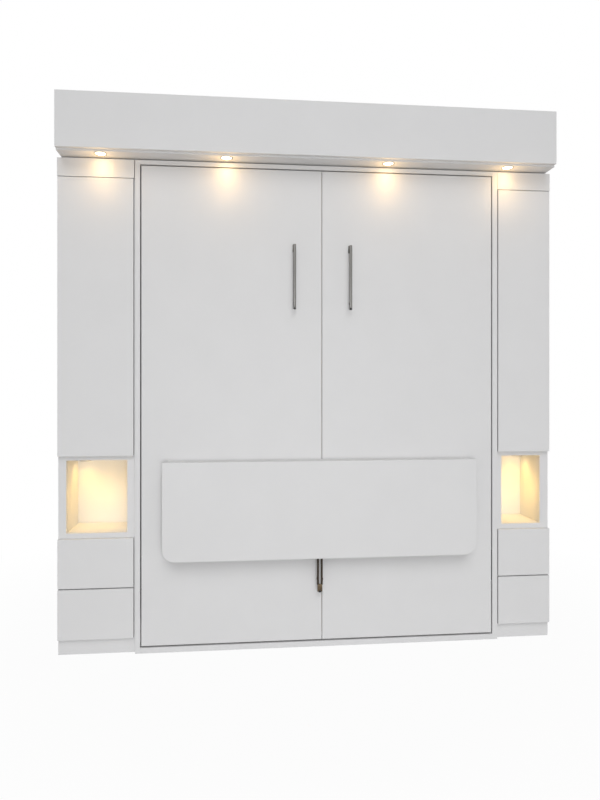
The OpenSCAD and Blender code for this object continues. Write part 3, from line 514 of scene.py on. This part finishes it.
# A copy of a CAD node with its triangles merged, its flat faces joined and its sharp edges eased
def dressNode(node, material, ease, segments=2, sharpAngle=30, flatAngle=0.3):
    work = bmesh.new()
    work.from_mesh(frame["nodes"][node].data)
    bmesh.ops.remove_doubles(work, verts=work.verts, dist=weld["cad"])
    bmesh.ops.dissolve_limit(work, angle_limit=math.radians(flatAngle), verts=work.verts, edges=work.edges)
    mesh = bpy.data.meshes.new(node + "_mesh")
    work.to_mesh(mesh)
    work.free()
    piece = pieceFor(node, node + "_finish", mesh, material, sharpAngle)
    bevel = piece.modifiers.new("easedEdges", "BEVEL")
    bevel.width = ease
    bevel.segments = segments
    bevel.limit_method = "ANGLE"
    bevel.angle_limit = math.radians(sharpAngle)
    bevel.harden_normals = True
    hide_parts(node)


# Separate solids of a node: every corner takes the lowest number among its neighbours until none changes
def islands(node, axis=0):  # gives each solid's lowest and highest corner, in order along an axis
    mesh = frame["nodes"][node].data
    places, ends = np.empty(len(mesh.vertices) * 3), np.empty(len(mesh.edges) * 2, int)
    mesh.vertices.foreach_get("co", places)
    mesh.edges.foreach_get("vertices", ends)
    whole, number = np.unique(np.round(places.reshape(-1, 3), 6), axis=0, return_inverse=True)
    ends = number.ravel()[ends].reshape(-1, 2)
    label = np.arange(len(whole))
    while True:
        lowest = label.copy()
        np.minimum.at(lowest, ends[:, 0], label[ends[:, 1]])
        np.minimum.at(lowest, ends[:, 1], label[ends[:, 0]])
        lowest = lowest[lowest]
        if (lowest == label).all():
            break
        label = lowest
    solids = [whole[label == mark] for mark in np.unique(label)]
    found = [(points.min(axis=0), points.max(axis=0)) for points in solids]
    return sorted(found, key=lambda pair: pair[0][axis])


# Boards, timber and plain metal: the CAD shapes with eased edges

# How much each kind of edge is eased, in metres
easeOf = {"fronts": 0.0011, "bedFaces": 0.0003, "boards": 0.0008, "inside": 0.0006, "leaf": 0.0022,
          "timber": 0.002, "steel": 0.0003, "rod": 0.0005, "tube": 0.0008, "bush": 0.0005,
          "pullBracket": 0.0005, "bronze": 0.0008}
drawers = ("left_upper", "left_lower", "right_upper", "right_lower")
whiteFronts = ["left_door", "right_door", "bridge_fascia", "desk_ledge"]
whiteFronts += [drawer + "_drawer_front" for drawer in drawers]
whiteBoards = ["bed_side_left", "bed_side_right", "bed_top_board", "bed_bottom_rail", "pier_side_panels",
               "pier_top_fillers", "pier_plinths", "left_face_frame", "right_face_frame", "bridge_soffit",
               "bridge_top_and_ends"]
insideBoards = ["back_panels", "pier_boards", "pier_shelves", "left_niche_box", "right_niche_box"]
zincParts = ["door_hinge_arms", "drawer_runners", "strut_anchors", "desk_hinge_fixed", "desk_hinge_moving",
             "desk_hinge_pin"]
for nodes, material, kind, segments in (
        (whiteFronts, white, "fronts", 3),
        (("bed_face_left", "bed_face_right"), white, "bedFaces", 2),
        (whiteBoards, white, "boards", 2),
        (insideBoards, whiteInside, "inside", 2),
        (("desk_leaf",), white, "leaf", 4),
        ([drawer + "_drawer_box" for drawer in drawers], birchUp, "boards", 2),
        (("bed_frame",), birchUp, "timber", 2),
        (("bed_slats",), birchAcross, "timber", 3),
        (("pivot_studs",), burnished, "steel", 2),
        (zincParts, zinc, "steel", 2),
        (("left_strut_rod", "right_strut_rod"), chrome, "rod", 3),
        (("left_strut_tube", "right_strut_tube"), blackPaint, "tube", 3),
        (("pivot_bushes",), nylon, "bush", 2)):
    for node in nodes:
        dressNode(node, material, easeOf[kind], segments)
print("wall bed: boards and frame dressed")


# Pulls that swing out as legs

# Metres. The lug, the eye and the post stand behind the bar; pinDown and postUp are from its two ends.
pull = {"squareness": 2.5, "nose": 0.0022, "barDepth": 0.010, "sunk": 0.002, "lugHalf": 0.0025,
        "ease": 0.0006, "eyeRadius": 0.007, "pinBack": 0.022, "pinDown": 0.013, "postRadius": 0.004,
        "postCollar": 0.0062, "collarTall": 0.001, "neckTall": 0.003, "neckTop": 0.005, "postEase": 0.001,
        "postUp": 0.024, "footInset": 0.0003, "footNose": 0.0015, "footSquareness": 3.0,
        "screwRadius": 0.0028, "screwUp": 0.0125, "plate": 0.002, "plateTall": 0.03}


def makePull(side):  # crowned bar, eye lug at its top, turned post near its foot
    node = side + "_leg"
    low, high = nodeBox(node)
    middleX, barMiddle = (low[0] + high[0]) / 2, low[1] + pull["barDepth"] / 2
    barBack = low[1] + pull["barDepth"]
    bar = roundedBar("bar", (middleX, barMiddle, low[2]), (middleX, barMiddle, high[2]), (1, 0, 0),
                     (high[0] - low[0]) / 2, pull["barDepth"] / 2, pull["squareness"], pull["nose"], 40)
    pinY, pinZ = low[1] + pull["pinBack"], high[2] - pull["pinDown"]
    half, eyeRadius = pull["lugHalf"], pull["eyeRadius"]
    lug = roundedBox("lug", (middleX - half, barBack - pull["sunk"], pinZ - eyeRadius),
                     (middleX + half, pinY, pinZ + eyeRadius), pull["ease"])
    eye = easedDisc("eye", eyeRadius, half, pull["ease"], (middleX, pinY, pinZ), (1, 0, 0))
    postZ, reach = low[2] + pull["postUp"], high[1] - barBack
    radius, collar, postEase = pull["postRadius"], pull["postCollar"], pull["postEase"]
    post = turned("post", [(0, -pull["sunk"]), (collar, -pull["sunk"]), (collar, pull["collarTall"]),
                           (radius + pull["ease"], pull["neckTall"]), (radius, pull["neckTop"]),
                           (radius, reach - postEase), (radius - postEase, reach), (0, reach)],
                  (middleX, barBack, postZ), (0, 1, 0))
    piece = pieceFor(node, side + "Pull", joinMeshes(side + "Pull", [bar, lug, eye, post]), nickel, 40)
    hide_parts(node)
    footLow, footHigh = nodeBox(node + "_foot")
    footMiddle = (footLow[1] + footHigh[1]) / 2
    inset = pull["footInset"]
    foot = roundedBar("foot", (middleX, footMiddle, footLow[2]), (middleX, footMiddle, footHigh[2]),
                      (1, 0, 0), (footHigh[0] - footLow[0]) / 2 - inset, pull["barDepth"] / 2 - inset,
                      pull["footSquareness"], pull["footNose"])
    piece = pieceFor(node + "_foot", side + "PullFoot", foot, rubber)
    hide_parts(node + "_foot")


makePull("left")
makePull("right")
dressNode("leg_brackets", nickel, easeOf["pullBracket"])
plates = [pair for pair in islands("leg_brackets") if pair[1][2] - pair[0][2] > pull["plateTall"]]
places = [((low[0] + high[0]) / 2, frontY - pull["plate"], (low[2] + high[2]) / 2 + up)
          for low, high in plates for up in (-pull["screwUp"], pull["screwUp"])]
screwsOn("leg_brackets", "bracketScrews", places, (0, -1, 0), pull["screwRadius"], nickel)
print("wall bed: pulls made")


# Brace under the desk

# Metres. Two flat bars with a gap hang from the pin, and a block with two cheeks holds the rubber tip.
brace = {"barHalf": 0.0045, "barDepth": 0.004, "gap": 0.008, "barNose": 0.0008, "barSquareness": 5.0,
         "intoBlock": 0.003, "pastPin": 0.002, "eyeRadius": 0.007, "eyeEase": 0.001, "blockTall": 0.034,
         "blockHalf": 0.011, "blockUp": 0.006, "blockEase": 0.0013, "cheekTall": 0.0085, "cheekEase": 0.001,
         "tipRadius": 0.005, "tipHalf": 0.005, "tipGap": 0.0001, "neckInset": 0.0002, "neckEase": 0.0004,
         "rivetUp": 0.057, "rivetRadius": 0.006, "rivetRise": 0.0012, "rivetSunk": 0.001,
         "screwRadius": 0.0032, "screwOut": 0.0155, "screwUp": 0.019, "plate": 0.004}


def makeBrace():
    low, high = nodeBox("brace_arm")
    middleX, middleY = (low[0] + high[0]) / 2, (low[1] + high[1]) / 2
    pinZ, blockTop = high[2] - brace["eyeRadius"], low[2] + brace["blockTall"]
    half, deep, rim, rise = brace["barHalf"], brace["barDepth"], brace["rivetRadius"], brace["rivetRise"]
    sunk = brace["rivetSunk"]
    rivet = [(0, -sunk), (rim, -sunk), (rim, rise * 0.3), (rim * 0.75, rise * 0.85), (0, rise)]
    bars, parts = [], []
    for side in (-1, 1):
        x = middleX + side * (brace["gap"] / 2 + half)
        bars.append(roundedBar("bar", (x, middleY, blockTop - brace["intoBlock"]),
                               (x, middleY, pinZ + brace["pastPin"]), (1, 0, 0), half, deep,
                               brace["barSquareness"], brace["barNose"]))
        bars.append(easedDisc("eye", brace["eyeRadius"], half, brace["eyeEase"], (x, middleY, pinZ),
                              (1, 0, 0)))
        bars.append(turned("rivet", rivet, (x + side * half, middleY, low[2] + brace["rivetUp"]),
                           (side, 0, 0), 32))
        inner = middleX + side * (brace["tipHalf"] + brace["tipGap"])
        outer = middleX + side * brace["blockHalf"]
        parts.append(roundedBox("cheek", (min(inner, outer), middleY - deep, low[2]),
                                (max(inner, outer), middleY + deep, low[2] + brace["cheekTall"]),
                                brace["cheekEase"]))
    wide = brace["blockHalf"]
    parts.append(roundedBox("block", (middleX - wide, middleY - deep, low[2] + brace["blockUp"]),
                            (middleX + wide, middleY + deep, blockTop), brace["blockEase"]))
    # The bars take the darker bronze, which is dark bronze and painted shade from the leaf
    piece = pieceFor("brace_arm", "braceBars", joinMeshes("braceBars", bars), barBronzeAndShade, 40)
    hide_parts("brace_arm")
    pieceFor("brace_arm", "braceBlock", joinMeshes("braceBlock", parts), bronze, 40)
    tipLow, tipHigh = nodeBox("brace_tip")
    radius, inset = brace["tipRadius"], brace["neckInset"]
    rollerZ = tipLow[2] + radius
    roller = roundedBar("tip", (tipLow[0], middleY, rollerZ), (tipHigh[0], middleY, rollerZ),
                        (0, 1, 0), radius, radius, 2.0, brace["barNose"])
    neck = roundedBox("neck", (tipLow[0] + inset, middleY - deep + inset, rollerZ),
                      (tipHigh[0] - inset, middleY + deep - inset, tipHigh[2]), brace["neckEase"])
    piece = pieceFor("brace_tip", "braceTip", joinMeshes("braceTip", [roller, neck]), rubber, 40)
    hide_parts("brace_tip")
    plateLow, plateHigh = nodeBox("brace_bracket")
    plateMiddle = (plateLow + plateHigh) / 2
    places = [(plateMiddle[0] + x, plateLow[1] + brace["plate"], plateMiddle[2] + z)
              for x in (-brace["screwOut"], brace["screwOut"]) for z in (-brace["screwUp"], brace["screwUp"])]
    screwsOn("brace_bracket", "braceBracketScrews", places, (0, 1, 0), brace["screwRadius"], bronze)


makeBrace()
for node in ("brace_bracket", "brace_rest"):
    dressNode(node, bronze, easeOf["bronze"])
print("wall bed: brace made")


# Lamps: turned trim rings round frosted domes

# Profiles are (radius, height) from the face that the trim lies on, heights in the direction out of it
downlight = {"trim": [(0.0225, -0.018), (0.0225, 0.0005), (0.0231, 0.0019), (0.0243, 0.0028), (0.0262, 0.003),
                      (0.0274, 0.0024), (0.028, 0.0012), (0.028, 0.0), (0.0255, 0.0), (0.0255, -0.018),
                      (0.0225, -0.018)],
             "lens": [(0, 0.0022), (0.008, 0.002), (0.015, 0.0014), (0.0205, 0.0003), (0.0224, -0.001),
                      (0.0224, -0.003), (0, -0.003)]}
puck = {"case": [(0.0, 0.0), (0.03, 0.0), (0.03, 0.0145), (0.0293, 0.0168), (0.0275, 0.018), (0.0262, 0.0178),
                 (0.0254, 0.0168), (0.025, 0.015), (0.025, 0.001), (0.0, 0.001)],
        "lens": [(0, 0.0172), (0.01, 0.017), (0.0185, 0.0163), (0.0235, 0.0152), (0.0249, 0.014),
                 (0.0249, 0.012), (0, 0.012)]}
lampSplit = soffitZ - 0.5  # a lamp lower than this is a niche's
nicheLining = 0.009
puckTop = nodeBox("left_niche_box")[1][2] - nicheLining  # the niches' ceiling
lensMiddles = [(low + high) / 2 for low, high in islands("light_lenses")]
downSpots = [(middle[0], middle[1], soffitZ) for middle in lensMiddles if middle[2] > lampSplit]
puckSpots = [(middle[0], middle[1], puckTop) for middle in lensMiddles if middle[2] <= lampSplit]


def lampTurnings(name, profile, spots):  # one turned form under each spot, all in one mesh
    return joinMeshes(name, [turned(name, profile, spot, (0, 0, -1), 64) for spot in spots])


rings = joinMeshes("lampTrims", [lampTurnings("trim", downlight["trim"], downSpots),
                                 lampTurnings("case", puck["case"], puckSpots)])
piece = pieceFor("light_rings", "lampTrims", rings, satinNickel, 40)
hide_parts("light_rings")
domes = lampTurnings("lampDomes", downlight["lens"], downSpots)
piece = pieceFor("light_lenses", "lampDomes", domes, lampGlow)
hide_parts("light_lenses")
pieceFor("light_lenses", "nicheDomes", lampTurnings("nicheDomes", puck["lens"], puckSpots), nicheGlow)
print("wall bed: lamps made")


# Cup hinges on the doors, and the screws of the desk's hinge

# The dish is a profile of (radius, height) from the door's back, heights out of the door
cup = {"dish": [(0, -0.0112), (0.0140, -0.0112), (0.0158, -0.0098), (0.0166, -0.0005), (0.0172, 0.0005),
                (0.0184, 0.0006), (0.0186, 0.0), (0.0175, -0.0002), (0.0174, -0.0104), (0.0154, -0.0119),
                (0, -0.0119)],
       "wingHalf": 0.0085, "wingCorner": 0.004, "wingUp": 0.0225, "wingThick": 0.0006,
       "screwRadius": 0.0034, "screwRise": 0.12}
for side in ("left", "right"):
    node = side + "_hinge_cups"
    doorBack = nodeBox(side + "_door")[1][1]
    meshes, places = [], []
    for low, high in islands(node, 2):
        middleX, middleZ = (low[0] + high[0]) / 2, (low[2] + high[2]) / 2
        meshes.append(turned("dish", cup["dish"], (middleX, doorBack, middleZ), (0, 1, 0), 48))
        for up in (-cup["wingUp"], cup["wingUp"]):
            meshes.append(roundedPlate("wing", (middleX, doorBack, middleZ + up), (0, 1, 0), (1, 0, 0),
                                       cup["wingHalf"], cup["wingHalf"], cup["wingCorner"], cup["wingThick"]))
            places.append((middleX, doorBack + cup["wingThick"], middleZ + up))
    piece = pieceFor(node, side + "HingeCups", joinMeshes(side + "HingeCups", meshes), zinc, 40)
    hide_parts(node)
    screwsOn(node, side + "CupScrews", places, (0, 1, 0), cup["screwRadius"], zinc, cup["screwRise"])

hingeScrews = {"count": 25, "radius": 0.0024, "rise": 0.03, "leaf": 0.0012, "up": 0.011, "end": 0.026}
for node, carrier, outward in (("desk_hinge_fixed", nodeBox("desk_ledge")[0], -1),
                               ("desk_hinge_moving", nodeBox("desk_leaf")[1], 1)):
    low, high = nodeBox(node)
    face = carrier[1] + outward * hingeScrews["leaf"]
    row = np.linspace(low[0] + hingeScrews["end"], high[0] - hingeScrews["end"], hingeScrews["count"])
    screwsOn(node, node + "_screws", [(x, face, low[2] + hingeScrews["up"]) for x in row], (0, outward, 0),
             hingeScrews["radius"], zinc, hingeScrews["rise"])
print("wall bed: hinges made")


# Mattress: quilted panels, channelled border, piping and straps

mattress = {"corner": 0.06, "around": 460, "across": 84, "borderRows": 30, "pillow": 0.009, "diamond": 0.21,
            "stitch": 0.7, "crown": 0.013, "crownPower": 8, "fadePower": 24, "bunch": 0.92, "inset": 0.006,
            "channel": 0.005, "channels": 3, "pipingRadius": 0.0048, "pipingSteps": 12, "fill": 0.8}
padLow, padHigh = nodeBox("mattress")
padMiddle, padHalf = (padLow + padHigh) / 2, (padHigh - padLow) / 2
padOutline, padRun, padLength = roundRect(padHalf[0] - mattress["inset"], padHalf[2] - mattress["inset"],
                                          mattress["corner"], mattress["around"])
padStep = np.append(padRun, padLength)  # run of the outline at each of its points, and back at the first
padEdge = padHalf[1] - mattress["crown"]  # level of the seams that the piping covers


# Panel height: lowered towards the rim by crown * s^crownPower, s being the share of the way to the rim, with
# pillows between two sets of stitched lines. Pillow = depth * (1 - |sin a * sin b|^stitch), a and b running
# along the two diagonals.
def panelDrop(x, z, rim):
    first = np.sin(math.pi * (x + z) / mattress["diamond"])
    second = np.sin(math.pi * (x - z) / mattress["diamond"])
    pillow = 1 - np.abs(first * second) ** mattress["stitch"]
    fade = 1 - rim ** mattress["fadePower"]
    return mattress["crown"] * rim ** mattress["crownPower"] + mattress["pillow"] * pillow * fade


# Panels: rim share * outline, at the panel's height. Border: outline + ridge * outward direction, the ridge
# being channel * sqrt|sin| of its share of the thickness.
def makeMattress():
    rim = np.linspace(0, 1, mattress["across"]) ** mattress["bunch"]
    x = rim[:, None] * padOutline[:, 0]
    z = rim[:, None] * padOutline[:, 1]
    drop = panelDrop(x, z, rim[:, None])
    front = np.stack([x, -padHalf[1] + drop, z], -1)  # the side that lies on the slats when shut
    rear = np.stack([x, padHalf[1] - drop, z], -1)[::-1]
    share = np.linspace(0, 1, mattress["borderRows"] + 2)[1:-1, None]
    ridge = mattress["channel"] * np.sqrt(np.abs(np.sin(math.pi * mattress["channels"] * share)))
    out = padOutline / np.linalg.norm(padOutline, axis=1, keepdims=True)
    border = np.stack([padOutline[:, 0] + ridge * out[:, 0], padEdge * (2 * share - 1) + 0 * out[:, 0],
                       padOutline[:, 1] + ridge * out[:, 1]], -1)
    rings = np.concatenate([front, border, rear]) + padMiddle
    closed = np.concatenate([rings, rings[:, :1]], axis=1)
    corners = quadCorners(closed[..., 0], closed[..., 2])
    band = slice(len(front) - 1, len(front) + len(border))
    corners[band] = quadCorners(np.broadcast_to(padStep, closed.shape[:2]), closed[..., 1])[band]
    mesh = skinMesh("mattress", rings, capped=False, corners=corners)
    piece = pieceFor("mattress", "quiltedMattress", mesh, ticking, 60)
    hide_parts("mattress")


# Piping: a round tube carried along the mattress's outline, its section turned to face outwards.
# Point = outline + r * (cos t * outward + sin t * thickness direction).
def makePiping():
    ahead = np.roll(padOutline, -1, axis=0) - np.roll(padOutline, 1, axis=0)
    outward = np.stack([ahead[:, 1], -ahead[:, 0]], -1)
    outward /= np.linalg.norm(outward, axis=1, keepdims=True)
    turn = np.linspace(0, math.tau, mattress["pipingSteps"])[:, None]
    reach, lift = mattress["pipingRadius"] * np.cos(turn), mattress["pipingRadius"] * np.sin(turn)
    grid = (len(turn), len(padStep))
    corners = quadCorners(np.broadcast_to(padStep, grid),
                          np.broadcast_to(mattress["pipingRadius"] * turn, grid))
    tubes = []
    for side in (-1, 1):
        rings = np.stack([padOutline[:, 0] + reach * outward[:, 0], side * padEdge + lift + 0 * outward[:, 0],
                          padOutline[:, 1] + reach * outward[:, 1]], -1)
        tubes.append(skinMesh("tube", rings + padMiddle, capped=False, corners=corners))
    pieceFor("mattress", "mattressPiping", joinMeshes("mattressPiping", tubes), piping, 60)


# Strap: a flat band carried along a path that goes up one side of the mattress, over it and down the other.
# Path corner = its middle + radius * (cos t, sin t); across the top it follows the mattress's crown.
strap = {"thick": 0.0018, "round": 0.016, "inset": 0.001, "sink": 0.9, "sideSteps": 12, "topSteps": 81,
         "buckleOff": 0.30, "buckleHalf": (0.017, 0.025), "buckleBar": 0.0021, "buckleFlat": 0.8}


def buckleBar(start, end, side):  # a squarish bar of the buckle, a little flatter than it is wide
    half = strap["buckleBar"]
    return roundedBar("bar", start, end, side, half, half * strap["buckleFlat"], 3.0)


def makeStraps():
    bands, buckles = [], []
    corner = strap["round"]
    quarter = np.linspace(0, math.pi / 2, 9)
    for low, high in islands("mattress_straps", 2):
        middleX, middleZ = (low[0] + high[0]) / 2, (low[2] + high[2]) / 2
        half, top = (high[0] - low[0]) / 2 - strap["inset"], high[1] - strap["inset"]
        across = np.linspace(half - corner, corner - half, strap["topSteps"])
        sink = mattress["crown"] * np.abs(across / half) ** mattress["crownPower"] * strap["sink"]
        turnFoot = top - sink[0] - corner
        rise = np.linspace(low[1], turnFoot, strap["sideSteps"])[:-1]
        right = np.concatenate([
            np.stack([np.full(len(rise), half), rise], -1),
            np.stack([half - corner * (1 - np.cos(quarter)), turnFoot + corner * np.sin(quarter)], -1)])
        path = np.concatenate([right, np.stack([across, top - sink], -1)[1:-1], (right * (-1, 1))[::-1]])
        ahead = np.gradient(path, axis=0)
        normal = np.stack([ahead[:, 1], -ahead[:, 0]], -1)
        normal /= np.linalg.norm(normal, axis=1, keepdims=True)
        run = np.concatenate([[0], np.cumsum(np.linalg.norm(np.diff(path, axis=0), axis=1))])
        wide, thick = (high[2] - low[2]) / 2, strap["thick"] / 2
        section = np.array([(-thick, -wide + thick), (-thick, 0), (-thick, wide - thick), (0, wide),
                            (thick, wide - thick), (thick, 0), (thick, thick - wide), (0, -wide)])
        rings = np.stack([middleX + path[:, None, 0] + section[:, 0] * normal[:, None, 0],
                          path[:, None, 1] + section[:, 0] * normal[:, None, 1],
                          middleZ + section[:, 1] + 0 * path[:, None, 0]], -1)
        grid = (len(path), len(section) + 1)
        corners = quadCorners(np.broadcast_to(run[:, None], grid),
                              np.broadcast_to(np.append(section[:, 1], section[0, 1]), grid))
        bands.append(skinMesh("band", rings, corners=corners))
        x, y = middleX + strap["buckleOff"], high[1] + strap["buckleBar"] / 2
        halfAcross, halfUp = strap["buckleHalf"]
        reach = halfAcross + strap["buckleBar"]
        for offset in (-halfAcross, 0, halfAcross):
            buckles.append(buckleBar((x + offset, y, middleZ - halfUp), (x + offset, y, middleZ + halfUp),
                                     (1, 0, 0)))
        for offset in (-halfUp, halfUp):
            buckles.append(buckleBar((x - reach, y, middleZ + offset), (x + reach, y, middleZ + offset),
                                     (0, 0, 1)))
    piece = pieceFor("mattress_straps", "strapBands", joinMeshes("strapBands", bands), webbing, 60)
    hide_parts("mattress_straps")
    pieceFor("mattress_straps", "strapBuckles", joinMeshes("strapBuckles", buckles), nylon, 60)


makeMattress()
makePiping()
makeStraps()
print("wall bed: mattress made")


# Camera, lamps and floor

# The photo's view: metres, degrees, millimetres for the lens and the sensor, and the shift as a share of the
# picture's height
view = {"place": (-0.3285, -2.9675, 1.1945), "turn": -5.53, "lens": 27.9, "sensor": 36, "shift": -0.02125}
camera = bpy.data.objects.new("camera", bpy.data.cameras.new("camera"))
scene.collection.objects.link(camera)
camera.location = view["place"]
camera.rotation_euler = (math.radians(90), 0, math.radians(view["turn"]))
camera.data.sensor_width = view["sensor"]
camera.data.lens = view["lens"]
camera.data.shift_y = view["shift"]
camera.data.clip_start = 0.01
scene.camera = camera


def placeLamp(name, kind, place, power, colour=(1, 1, 1)):  # a lamp that the camera doesn't see
    lamp = bpy.data.objects.new(name, bpy.data.lights.new(name, kind))
    scene.collection.objects.link(lamp)
    lamp.data.energy = power
    lamp.data.color = colour
    lamp.location = place
    lamp.visible_camera = False
    return lamp


# Two wide lamps in front and a soft sun from high in front. Metres, watts and degrees; the sun's strength is
# in watts per square metre.
studio = {
    "front": {"place": (0.12, -6.6, 0.5), "aim": (0.12, 0, 0.9), "size": (2.2, 2.2), "power": 150.0},
    "low": {"place": (0.1, -4.8, 0.3), "aim": (0.1, 0, 0.4), "size": (4.5, 0.9), "power": 9.0},
}
skylight = {"height": 42, "spread": 40, "strength": 1.1}
worldLevel = 0.26
for name, light in studio.items():
    lamp = placeLamp(name, "AREA", light["place"], light["power"])
    lamp.data.shape = "RECTANGLE"
    lamp.data.size, lamp.data.size_y = light["size"]
    aim = Vector(light["aim"]) - Vector(light["place"])
    lamp.rotation_euler = aim.to_track_quat("-Z", "Y").to_euler()
sun = placeLamp("skylight", "SUN", (0, 0, 0), skylight["strength"])
sun.data.angle = math.radians(skylight["spread"])
sun.rotation_euler = (math.radians(90 - skylight["height"]), 0, 0)

# Each downlight is a small glow on the wall and a wide weak wash. Drops are from the soffit, and ahead is
# towards the front.
glow = {"colour": (1.0, 0.62, 0.22), "haloPower": 0.13, "haloDrop": 0.05, "haloSize": 0.02,
        "washPower": 0.17, "washDrop": 0.12, "washAhead": 0.05, "washSize": 0.05}
for x, y, z in downSpots:
    halo = placeLamp("halo", "POINT", (x, y, z - glow["haloDrop"]), glow["haloPower"], glow["colour"])
    halo.data.shadow_soft_size = glow["haloSize"]
    wash = placeLamp("wash", "POINT", (x, y - glow["washAhead"], z - glow["washDrop"]), glow["washPower"],
                     glow["colour"])
    wash.data.shadow_soft_size = glow["washSize"]

# Each niche lamp is a disc that shines down, just under its dome, and a soft fill in the niche's middle
nicheLight = {"colour": (1.0, 0.62, 0.15), "discPower": 0.09, "disc": 0.05, "discDrop": 0.022, "spread": 110,
              "fillPower": 0.40, "fillAhead": 0.055, "fillDrop": 0.17, "fillSize": 0.06}
for x, y, z in puckSpots:
    disc = placeLamp("nicheLamp", "AREA", (x, y, z - nicheLight["discDrop"]), nicheLight["discPower"],
                     nicheLight["colour"])
    disc.data.shape = "DISK"
    disc.data.size = nicheLight["disc"]
    disc.data.spread = math.radians(nicheLight["spread"])
    nicheLow, nicheHigh = nodeBox("left_niche_box" if x < seamX else "right_niche_box")
    fillPlace = ((nicheLow[0] + nicheHigh[0]) / 2, y - nicheLight["fillAhead"], z - nicheLight["fillDrop"])
    fill = placeLamp("nicheFill", "POINT", fillPlace, nicheLight["fillPower"], nicheLight["colour"])
    fill.data.shadow_soft_size = nicheLight["fillSize"]

# The world is white to the camera and in reflections, and a dim even light otherwise
world = bpy.data.worlds.new("studio")
scene.world = world
world.use_nodes = True
tree = world.node_tree
path = put(tree, "ShaderNodeLightPath")
back = tree.nodes["Background"]
back.inputs["Color"].default_value = (1, 1, 1, 1)
direct = mathNode(tree, "MAXIMUM", path.outputs["Is Camera Ray"], path.outputs["Is Glossy Ray"])
direct = mathNode(tree, "MAXIMUM", direct, path.outputs["Is Transmission Ray"])
level = mathNode(tree, "MULTIPLY_ADD", direct, 1.0 - worldLevel, worldLevel)
wire(tree, (level, back.inputs["Strength"]))

# The floor shows white to the camera over its own shaded paint: the share "shown" up to "near" metres from
# the middle, and all of it from "far" metres on
floorLook = {"reach": 14.0, "colour": (0.66, 0.66, 0.66, 1), "roughness": 0.9, "shown": 0.95, "near": 1.0,
             "far": 2.4}
floorMesh = bpy.data.meshes.new("floor")
reach = floorLook["reach"]
floorMesh.from_pydata([(-reach, -reach, 0), (reach, -reach, 0), (reach, reach, 0), (-reach, reach, 0)], [],
                      [(0, 1, 2, 3)])
floor = bpy.data.objects.new("floor", floorMesh)
scene.collection.objects.link(floor)
paint = bpy.data.materials.new("paleFloor")
paint.use_nodes = True
tree = paint.node_tree
shader = tree.nodes["Principled BSDF"]
shader.inputs["Base Color"].default_value = floorLook["colour"]
shader.inputs["Roughness"].default_value = floorLook["roughness"]
path = put(tree, "ShaderNodeLightPath")
shine = put(tree, "ShaderNodeEmission", Color=(1, 1, 1, 1), Strength=1.0)
blendOver = put(tree, "ShaderNodeMixShader")
direct = mathNode(tree, "MAXIMUM", path.outputs["Is Camera Ray"], path.outputs["Is Glossy Ray"])
where = put(tree, "ShaderNodeTexCoord")
distance = put(tree, "ShaderNodeVectorMath", {"operation": "LENGTH"})
fade = put(tree, "ShaderNodeMapRange", From_Min=floorLook["near"], From_Max=floorLook["far"],
           To_Min=floorLook["shown"], To_Max=1.0)
wire(tree, (where.outputs["Object"], distance.inputs[0]), (distance.outputs["Value"], fade.inputs["Value"]),
     (mathNode(tree, "MULTIPLY", direct, fade.outputs["Result"]), blendOver.inputs[0]),
     (shader.outputs[0], blendOver.inputs[1]), (shine.outputs[0], blendOver.inputs[2]),
     (blendOver.outputs[0], tree.nodes["Material Output"].inputs[0]))
floorMesh.materials.append(paint)

scene.view_settings.view_transform = "Standard"
